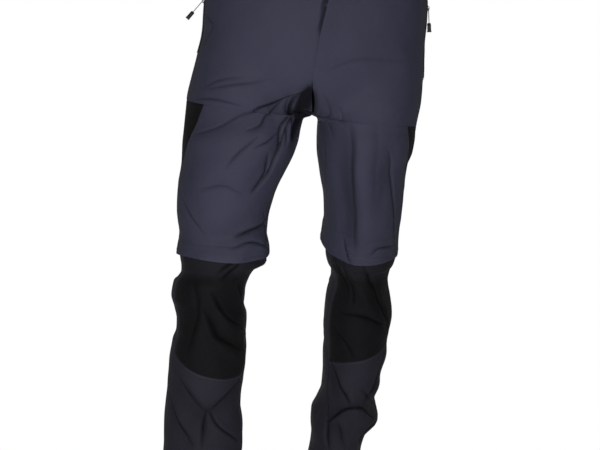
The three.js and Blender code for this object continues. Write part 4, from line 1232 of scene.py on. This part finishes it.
def stitch_paths():
    paths = []
    aside = STITCH_TURNS
    for side in SIGN:
        form, shank, knee = thighs[side], shanks[side], KNEES[side]
        full = np.linspace(0, 1, 400, endpoint=False)
        # Flap: along the zip's tape, and the hem
        for fallen in (FLAP_STITCH[side] + 0 * full, flap_fallen(side, full, 1.0) - 6):
            v = zip_line(side, full) + FLAP_ABOVE_ZIP - fallen
            paths.append(cloth_path(form, full, v, flap_height(side, full, fallen), True))
        # Below the fly: the centre seam, stitched on both sides
        v = np.linspace(*CENTRE_STITCH_Z, 40)
        paths.append(cloth_path(form, aside["centre"] + 0 * v, v))
        # Beside the insert
        _, beside = thigh_rows(FRONT_CELL)
        paths.append(cloth_path(form, front_edge(beside) - aside["insert"], beside))
        paths.append(cloth_path(form, back_edge(beside) + aside["insert"], beside))
        # Pocket zip: on the front, and on the tape
        v = np.linspace(BAND_BOTTOM - 2, POCKET_END_Z - 2, 120)
        for away, height in ((-aside["pocket"], 0.0), (aside["pocket"], POCKET_TAPE_HEIGHT)):
            paths.append(cloth_path(form, POCKET_TURNS[0] + away + 0 * v, v, height))
        # Seat seam and side seams
        v = np.linspace(BAND_BOTTOM - 3, SEAT_STITCH_END_Z, 200)
        paths.append(cloth_path(form, 1 - aside["seat"] + 0 * v, v))
        v = np.linspace(BAND_BOTTOM - 3, INSERT_TOP_Z + 3, 200)
        paths.append(cloth_path(form, 0.5 + aside["side"] + 0 * v, v))
        # Knee panel: under its edge, and down both sides of the shin
        turn = np.linspace(knee["inner"] + aside["knee"], knee["outer"] - aside["knee"], 160)
        paths.append(cloth_path(shank, turn, knee_edge(side, turn) - 2.6))
        for edge, away in ((knee["inner"], -aside["shin"]), (knee["outer"], aside["shin"])):
            top = zip_line(side, edge) - ZIP_TAPE_HALF - 2
            v = np.linspace(float(top), HEM_Z + 4, 420)
            paths.append(cloth_path(shank, edge + away + 0 * v, v))
        # Hem
        paths.append(cloth_path(shank, full, HEM_Z + HEM_DEPTH + 0 * full, 0.0, True))
    # Fly: the J, and the bar that ends it
    v = np.linspace(BAND_BOTTOM - 2, FLY_END_Z + 1, 160)
    paths.append(cloth_path(thighs["left"], fly_width(v) - aside["fly"], v, 0.3))
    for k in range(5):
        v = np.linspace(*FLY_BAR_Z, 8)
        paths.append(cloth_path(thighs["left"], 0.0008 + 0.0007 * k + 0 * v, v, 1.7))
    # Waistband, top and bottom
    for side, start, end in (("left", 0, 1), ("right", 1, 0.0)):
        for z in (BAND_TOP - 3, BAND_BOTTOM + 3):
            turn = np.linspace(start, end, 400)
            points, out = thighs[side].plain(turn, z), thighs[side].normal(turn, z)
            paths.append((points + 0.1 * out, out, False))
    return paths


def make_stitches():
    sizes = {"Pitch": 0.0032, "Stitch length": 0.0024, "Thread radius": 0.0003}
    group = along_path("stitches_along_seam", THREAD, sizes, stitch_unit)
    run_tree("seam_stitches", group, stitch_paths(), sizes)
    sizes = {"Pitch": 0.0013, "Coil width": 0.0040, "Wire radius": 0.00042}
    group = along_path("coil_teeth_along_tape", COIL, sizes, tooth_unit)
    run_tree("zip_teeth", group, teeth_paths, sizes)


# Zip sliders and pulls, made in their own frame: X down along the zip, Y out, Z across

def frame_at(origin, out, down):
    x = down - out * (down @ out)
    x /= np.linalg.norm(x)
    return np.stack([x, out, np.cross(x, out)], 1), origin


def loft(sections, roundness=4.0, sides=20):
    """Points and faces of a closed form through sections (x, y, half width, half thickness)."""
    angle = np.linspace(0, 2 * pi, sides, endpoint=False)
    points = []
    for x, y, width, thickness in sections:
        across = width * bulge(np.cos(angle), roundness)
        deep = thickness * bulge(np.sin(angle), roundness)
        points.append(np.stack([x + 0 * angle, y + deep, across], -1))
    points = np.concatenate(points)
    count = len(sections)
    faces = []
    for i in range(count - 1):
        for j in range(sides):
            k = (j + 1) % sides
            faces.append((i * sides + j, (i + 1) * sides + j, (i + 1) * sides + k, i * sides + k))
    faces.append(tuple(range(sides)))
    faces.append(tuple((count - 1) * sides + j for j in reversed(range(sides))))
    return points, faces


def bent_rod(path, radius, closed=False, sides=8):
    """A round bar along a path in the XZ plane or in space."""
    path = np.asarray(path, float)
    ahead = np.roll(path, -1, 0) if closed else np.concatenate([path[1:], 2 * path[-1:] - path[-2:-1]])
    behind = np.roll(path, 1, 0) if closed else np.concatenate([2 * path[:1] - path[1:2], path[:-1]])
    along = ahead - behind
    along /= np.linalg.norm(along, axis=1, keepdims=True)
    up = np.array([0.0, 1.0, 0.0])
    side = np.cross(along, up)
    side /= np.maximum(np.linalg.norm(side, axis=1, keepdims=True), 1e-6)
    over = np.cross(side, along)
    angle = np.linspace(0, 2 * pi, sides, endpoint=False)[None, :, None]
    rings = path[:, None] + radius * (np.cos(angle) * side[:, None] + np.sin(angle) * over[:, None])
    count = len(path)
    faces = []
    for i in range(count if closed else count - 1):
        n = (i + 1) % count
        for j in range(sides):
            k = (j + 1) % sides
            faces.append((i * sides + j, i * sides + k, n * sides + k, n * sides + j))
    if not closed:
        faces.append(tuple(reversed(range(sides))))
        faces.append(tuple((count - 1) * sides + j for j in range(sides)))
    return rings.reshape(-1, 3), faces


def join_parts(name, parts, zip_frame, materials, ride_on, stands_for):
    """One piece from parts given in a zip's own frame, each with the number of its material."""
    basis, origin = zip_frame
    points, faces, slots = [], [], []
    for (part_points, part_faces), slot in parts:
        first = sum(len(p) for p in points)
        points.append(np.asarray(part_points) @ basis.T + origin)
        faces += [tuple(first + k for k in face) for face in part_faces]
        slots += [slot] * len(part_faces)
    piece = new_piece(name, np.concatenate(points) * MM, faces, materials[0], sharp=40)
    for material in materials[1:]:
        piece.data.materials.append(material)
    piece.data.polygons.foreach_set("material_index", slots)
    made = bmesh.new()
    made.from_mesh(piece.data)
    bmesh.ops.recalc_face_normals(made, faces=made.faces)
    made.to_mesh(piece.data)
    made.free()
    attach(piece, ride_on)
    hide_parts(stands_for)
    return piece


def slider_parts():
    """The slider's body and the bridge that its pull hangs from."""
    half = SLIDER["length"] / 2
    wide = SLIDER["width"] / 2
    body = loft(
        [
            (-half, 0.6, wide * 0.62, 0.25),
            (-half + 0.5, 0.6, wide * 0.86, 0.6),
            (-half + 2.2, 0.6, wide, 0.65),
            (half - 2.0, 0.6, wide * 0.86, 0.65),
            (half - 0.4, 0.6, wide * 0.55, 0.55),
            (half, 0.6, wide * 0.4, 0.25),
        ]
    )
    reach = SLIDER["bridge"] / 2
    arc = np.linspace(0, pi, 13)
    path = np.stack([-reach * np.cos(arc), 0.9 + 2.3 * np.sin(arc) ** 0.6, 0 * arc], -1)
    bridge = bent_rod(path, BRIDGE_WIRE)
    return [(body, 0), (bridge, 0)]


def grip_sections(cord_end, cord, end, half_wide, half_thick):
    """A moulded grip that is ribbed, and wider towards its end."""
    sections = [
        (cord_end, 0, cord * 0.55, half_thick * 0.6),
        (cord_end + 1.2, 0, cord * 0.8, half_thick * 0.9),
    ]
    first, last = cord_end + 4, end - 3
    ribs = max(3, int((last - first) / RIB_PITCH))
    for k in range(ribs + 1):
        x = mix(first, last, k / ribs)
        width = half_wide * (0.82 + 0.32 * k / ribs)
        for away, share in ((-RIB_HALF, RIB_GROOVE), (0, 1), (RIB_HALF, RIB_GROOVE)):
            sections.append((x + away, 0, width, half_thick * share))
    sections.append((end - 0.8, 0, half_wide * 1.1, half_thick * 1.1))
    sections.append((end, 0, half_wide * 0.9, half_thick * 0.9))
    return sections


def pull_parts(size, rest):
    """The ring through the slider's bridge, the doubled cord and the moulded grip."""
    cord_end, cord, end = size["cord_end"], size["cord"], size["end"]
    turn = np.linspace(0, 2 * pi, 20, endpoint=False)
    lengthwise = RING["centre"] - RING["half_length"] * np.cos(turn)
    ring = np.stack([lengthwise, 0 * turn, RING["half_width"] * np.sin(turn)], -1)
    parts = [(bent_rod(ring, RING["wire"], closed=True), 0)]
    run = np.linspace(0, 1, 12)
    for hand in (-1, 1):
        across = hand * (STRAND_ASIDE * cord + 0.3 * np.sin(pi * run))
        strand = np.stack([mix(CORD_START, cord_end + 2, run), 0 * run, across], -1)
        parts.append((bent_rod(strand, STRAND_RADIUS * cord), 1))
    loop = np.linspace(-pi / 2, pi / 2, 9)
    bend = np.stack([CORD_START - 0.5 * np.cos(loop), 0 * loop, STRAND_ASIDE * cord * np.sin(loop)], -1)
    parts.append((bent_rod(bend, STRAND_RADIUS * cord), 1))
    grip = grip_sections(cord_end, cord, end, size["wide"] / 2, size["thick"] / 2)
    parts.append((loft(grip, 3.0), 2))
    turn = radians(rest)
    spin = np.array([[cos(turn), -sin(turn), 0], [sin(turn), cos(turn), 0], [0, 0, 1]])
    return [((points @ spin.T, faces), slot) for (points, faces), slot in parts]


def make_zip_hardware(kind, side, zip_frame):
    basis, pivot = zip_frame
    tape = (basis, pivot - basis[:, 1] * PIVOT_HEIGHT)
    slider = f"{kind}_slider_{side}"
    join_parts(f"{slider}_body", slider_parts(), tape, [METAL], GARMENT, slider)
    parts = pull_parts(PULLS[kind], PULLS[kind][f"rest_{side}"])
    pull = f"{kind}_pull_{side}"
    join_parts(f"{pull}_grip", parts, zip_frame, [METAL, CORD, RUBBER], f"{side}_{kind}_pull", pull)


def hinge_place(name):
    """A hinge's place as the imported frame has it, in millimetres."""
    joint = next(j for j in frame["record"]["behaviour"]["joints"] if j["name"] == name)
    return np.array(joint["pos_m"]) / MM


def make_hardware(side):
    form = thighs[side]
    pocket_turn, leg_turn = float(np.mean(POCKET_TURNS)), LEG_SLIDER_TURN[side]
    for kind, turn, z, step in (
        ("pocket", pocket_turn, POCKET_SLIDER_Z[side], 6),
        ("leg", leg_turn, zip_line(side, leg_turn), 4),
    ):
        down = form.plain(turn, z - step) - form.plain(turn, z + step)
        pivot = hinge_place(f"{side}_{kind}_pull_hinge")
        make_zip_hardware(kind, side, frame_at(pivot, form.normal(turn, z), down))


# Materials

class Socket:
    """A shader socket that Python's operators turn into Math nodes."""

    def __init__(self, paint, socket):
        self.paint = paint
        self.socket = socket

    def _math(self, operation, a, b):
        return self.paint.node("ShaderNodeMath", {"operation": operation}, {0: a, 1: b})

    def __add__(self, other):
        return self._math("ADD", self, other)

    def __radd__(self, other):
        return self._math("ADD", other, self)

    def __sub__(self, other):
        return self._math("SUBTRACT", self, other)

    def __rsub__(self, other):
        return self._math("SUBTRACT", other, self)

    def __mul__(self, other):
        return self._math("MULTIPLY", self, other)

    def __rmul__(self, other):
        return self._math("MULTIPLY", other, self)


class Paint:
    """A material whose nodes all come from one method."""

    def __init__(self, name, **values):
        self.material = bpy.data.materials.new(name)
        self.material.use_nodes = True
        self.tree = self.material.node_tree
        self.shader = self.tree.nodes["Principled BSDF"]
        self.set(**values)

    def node(self, kind, settings=None, inputs=None, output=0):
        made = self.tree.nodes.new(kind)
        for key, value in (settings or {}).items():
            setattr(made, key, value)
        for key, value in (inputs or {}).items():
            self.feed(made.inputs[key], value)
        return Socket(self, made.outputs[output])

    def feed(self, socket, value):
        if isinstance(value, Socket):
            self.tree.links.new(value.socket, socket)
        else:
            socket.default_value = value

    def shader_output(self):
        return Socket(self, self.shader.outputs[0])

    def finish_with(self, surface):
        self.feed(self.tree.nodes["Material Output"].inputs["Surface"], surface)

    def set(self, **values):
        for key, value in values.items():
            self.feed(self.shader.inputs[key.replace("_", " ")], value)
        return self

    def mix_colours(self, share, a, b):
        colour = {"data_type": "RGBA", "clamp_factor": True}
        a, b = (c if isinstance(c, Socket) else (*c, 1) for c in (a, b))
        return self.node("ShaderNodeMix", colour, {0: share, 6: a, 7: b}, output=2)

    def noise(self, vector, scale, detail=3.0, rough=0.5, distortion=0.0):
        values = {"Vector": vector, "Scale": scale, "Detail": detail, "Roughness": rough}
        values["Distortion"] = distortion
        return self.node("ShaderNodeTexNoise", None, values)

    def bump(self, height, strength, distance, under=None):
        values = {"Strength": strength, "Distance": distance, "Height": height}
        if under:
            values["Normal"] = under
        return self.node("ShaderNodeBump", None, values)


def linear(r, g, b):
    """A colour as read on a screen, 0 to 255, as the shader's linear colour."""
    shares = (c / 255 for c in (r, g, b))
    return tuple(c / 12.92 if c <= 0.04045 else ((c + 0.055) / 1.055) ** 2.4 for c in shares)


# How dark the deepest painted shade in a crease is, as a share of the cloth's dark colour
CREASE_SHADE_SHARE = 0.09


def woven_cloth(name, dark, light, roughness, crinkle, thread=0.0011, top=None):
    """Plain-woven cloth: fine threads both ways, slubs, soft crinkles between the folds, and shade
    painted into the colour in a crease's pinch. top is the colour of the stretch at its upper edge."""
    paint = Paint(name)
    uv = paint.node("ShaderNodeUVMap", {"uv_map": "cloth"})
    threads = [
        paint.node(
            "ShaderNodeTexWave",
            {"wave_type": "BANDS", "bands_direction": direction},
            {"Vector": uv, "Scale": 0.314 / thread, "Distortion": 0.6, "Detail": 1.0},
            output=1,
        )
        for direction in ("X", "Y")
    ]
    weave = threads[0] * 0.5 + threads[1] * 0.5
    slub = paint.noise(paint.node("ShaderNodeMapping", None, {"Vector": uv, "Scale": (40, 900, 1)}), 1.0)
    cloud = paint.noise(uv, 16.0, 4.0)
    creased = paint.noise(uv, 70.0, 4.0, 0.6, 0.8)
    share = cloud * 0.7 + slub * 0.25 + weave * 0.15 - 0.05
    colour = paint.mix_colours(share, dark, light)
    if top:
        down = paint.node("ShaderNodeSeparateXYZ", None, {"Vector": uv}, output=1)
        values = {"Value": down + cloud * 0.012, "From Min": -0.046, "From Max": -0.03}
        near_top = paint.node("ShaderNodeMapRange", {"clamp": True}, values)
        colour = paint.mix_colours(near_top, colour, top)
    # Painted shade: the colour darkens towards a small share of the dark colour where the crease attribute is
    # high
    painted_shade = paint.node("ShaderNodeAttribute", {"attribute_name": "painted_shade"}, output=2)
    deep = tuple(c * CREASE_SHADE_SHARE for c in dark)
    colour = paint.mix_colours(painted_shade * (0.9 + cloud * 0.1), colour, deep)
    fine = paint.bump(weave + slub * 0.6, 0.25, 0.0003)
    soft = paint.bump(creased, crinkle, 0.0016, under=fine)
    paint.set(
        Base_Color=colour,
        Roughness=roughness + cloud * 0.1,
        Normal=soft,
        Specular_IOR_Level=0.1,
        Sheen_Weight=0.02,
        Sheen_Roughness=0.5,
    )
    return paint.material


def moulded(name, dark, light, roughness, scale, metallic=0.0, bump=0.0002):
    """Plastic, rubber, thread or cast metal with fine unevenness."""
    paint = Paint(name)
    where = paint.node("ShaderNodeTexCoord", output=3)
    grain = paint.noise(where, scale, 4.0, 0.6)
    wear = paint.noise(where, scale / 9, 3.0)
    paint.set(
        Base_Color=paint.mix_colours(grain * 0.6 + wear * 0.4, dark, light),
        Roughness=roughness + wear * 0.15,
        Normal=paint.bump(grain, 0.3, bump),
        Metallic=metallic,
    )
    return paint.material


SLATE = woven_cloth("slate_nylon", linear(53, 53, 69), linear(62, 62, 80), 0.6, 0.34)
# The same slate nylon painted darker for the lower legs: painted shade where they turn away from the light
SLATE_SHADED = woven_cloth("slate_nylon_with_painted_shade", linear(35, 34, 42), linear(43, 42, 52), 0.62, 0.4)
BLACK = woven_cloth("black_stretch", linear(13, 13, 14), linear(20, 20, 22), 0.75, 0.4, 0.0014)
KNEE = woven_cloth(
    "black_knee_stretch", linear(14, 14, 16), linear(21, 20, 23), 0.7, 0.5, 0.0014, top=linear(30, 29, 34)
)
TAPE = woven_cloth("zip_tape", linear(18, 19, 23), linear(27, 28, 34), 0.7, 0.1, 0.0009)
THREAD = moulded("slate_thread", linear(40, 40, 52), linear(54, 54, 69), 0.6, 900)
COIL = moulded("coil_plastic", linear(14, 14, 17), linear(30, 30, 35), 0.35, 700)
METAL = moulded("plated_metal", linear(150, 152, 156), linear(205, 207, 210), 0.28, 500, 1.0, 0.0001)
CORD = moulded("grey_cord", linear(84, 86, 92), linear(138, 140, 146), 0.7, 1400)
RUBBER = moulded("black_grip", linear(14, 14, 16), linear(28, 28, 31), 0.5, 700)

teeth_paths = []
make_waistband()
for side in SIGN:
    make_thigh(side)
    make_leg_zip(side)
    make_flap(side)
    make_shank(side)
    make_pocket_zip(side)
    make_hardware(side)
make_fly()
make_stitches()
button = frame["nodes"]["waist_button"]
button.data.materials.clear()
button.data.materials.append(RUBBER)


# Camera, floor and light

def make_camera():
    azimuth, elevation, roll = (radians(a) for a in (CAMERA_AZIMUTH, CAMERA_ELEVATION, CAMERA_ROLL))
    back = Vector((sin(azimuth) * cos(elevation), -cos(azimuth) * cos(elevation), sin(elevation)))
    right = Vector((cos(azimuth), sin(azimuth), 0))
    up = back.cross(right)
    turned_right = right * cos(roll) + up * sin(roll)
    turned_up = up * cos(roll) - right * sin(roll)
    place = Vector(CAMERA_AIM) * MM + back * CAMERA_DISTANCE * MM
    camera = put_in_scene("camera", bpy.data.cameras.new("camera"))
    matrix = Matrix((turned_right, turned_up, back)).transposed().to_4x4()
    camera.matrix_world = Matrix.Translation(place) @ matrix
    camera.data.sensor_width = SENSOR
    camera.data.lens = SENSOR * CAMERA_DISTANCE / (PHOTO_WIDTH * MM_PER_PIXEL)
    bpy.context.scene.camera = camera


def make_floor():
    """A pale floor that the camera sees as the white of the paper behind the garment."""
    z = HEM_Z * MM - FLOOR_BELOW_HEM
    corners = [(FLOOR_HALF_SIZE * x, FLOOR_HALF_SIZE * y, z) for x, y in ((-1, -1), (1, -1), (1, 1), (-1, 1))]
    paper = Paint("studio_paper", Roughness=0.9)
    grain = paper.noise(paper.node("ShaderNodeTexCoord", output=3), 3.0)
    paper.set(Base_Color=paper.mix_colours(grain, (0.86, 0.86, 0.86), (0.88, 0.88, 0.88)))
    seen = paper.node("ShaderNodeEmission", None, {"Color": (1, 1, 1, 1), "Strength": 1.0})
    rays = paper.node("ShaderNodeLightPath")
    blend = paper.node("ShaderNodeMixShader", None, {0: rays, 1: paper.shader_output(), 2: seen})
    paper.finish_with(blend)
    new_piece("floor", corners, [(0, 1, 2, 3)], paper.material)


def make_room():
    """A world that is white where the camera sees it, and lights the garment only weakly."""
    world = bpy.data.worlds.new("studio")
    world.use_nodes = True
    nodes, links = world.node_tree.nodes, world.node_tree.links
    seen = nodes["Background"]
    seen.inputs["Color"].default_value = (1, 1, 1, 1)
    seen.inputs["Strength"].default_value = 1.0
    room = nodes.new("ShaderNodeBackground")
    room.inputs["Strength"].default_value = ROOM_LIGHT
    rays = nodes.new("ShaderNodeLightPath")
    blend = nodes.new("ShaderNodeMixShader")
    links.new(rays.outputs["Is Camera Ray"], blend.inputs[0])
    links.new(room.outputs[0], blend.inputs[1])
    links.new(seen.outputs[0], blend.inputs[2])
    links.new(blend.outputs[0], nodes["World Output"].inputs["Surface"])
    bpy.context.scene.world = world


def make_lamps():
    for name, place, aim, size, watts in STUDIO_LIGHTS:
        data = bpy.data.lights.new(name, "AREA")
        data.size = size
        data.energy = watts
        light = put_in_scene(name, data)
        light.location = place
        light.rotation_euler = (Vector(aim) - Vector(place)).to_track_quat("-Z", "Y").to_euler()


make_camera()
make_floor()
make_room()
make_lamps()
bpy.context.scene.view_settings.view_transform = "Standard"
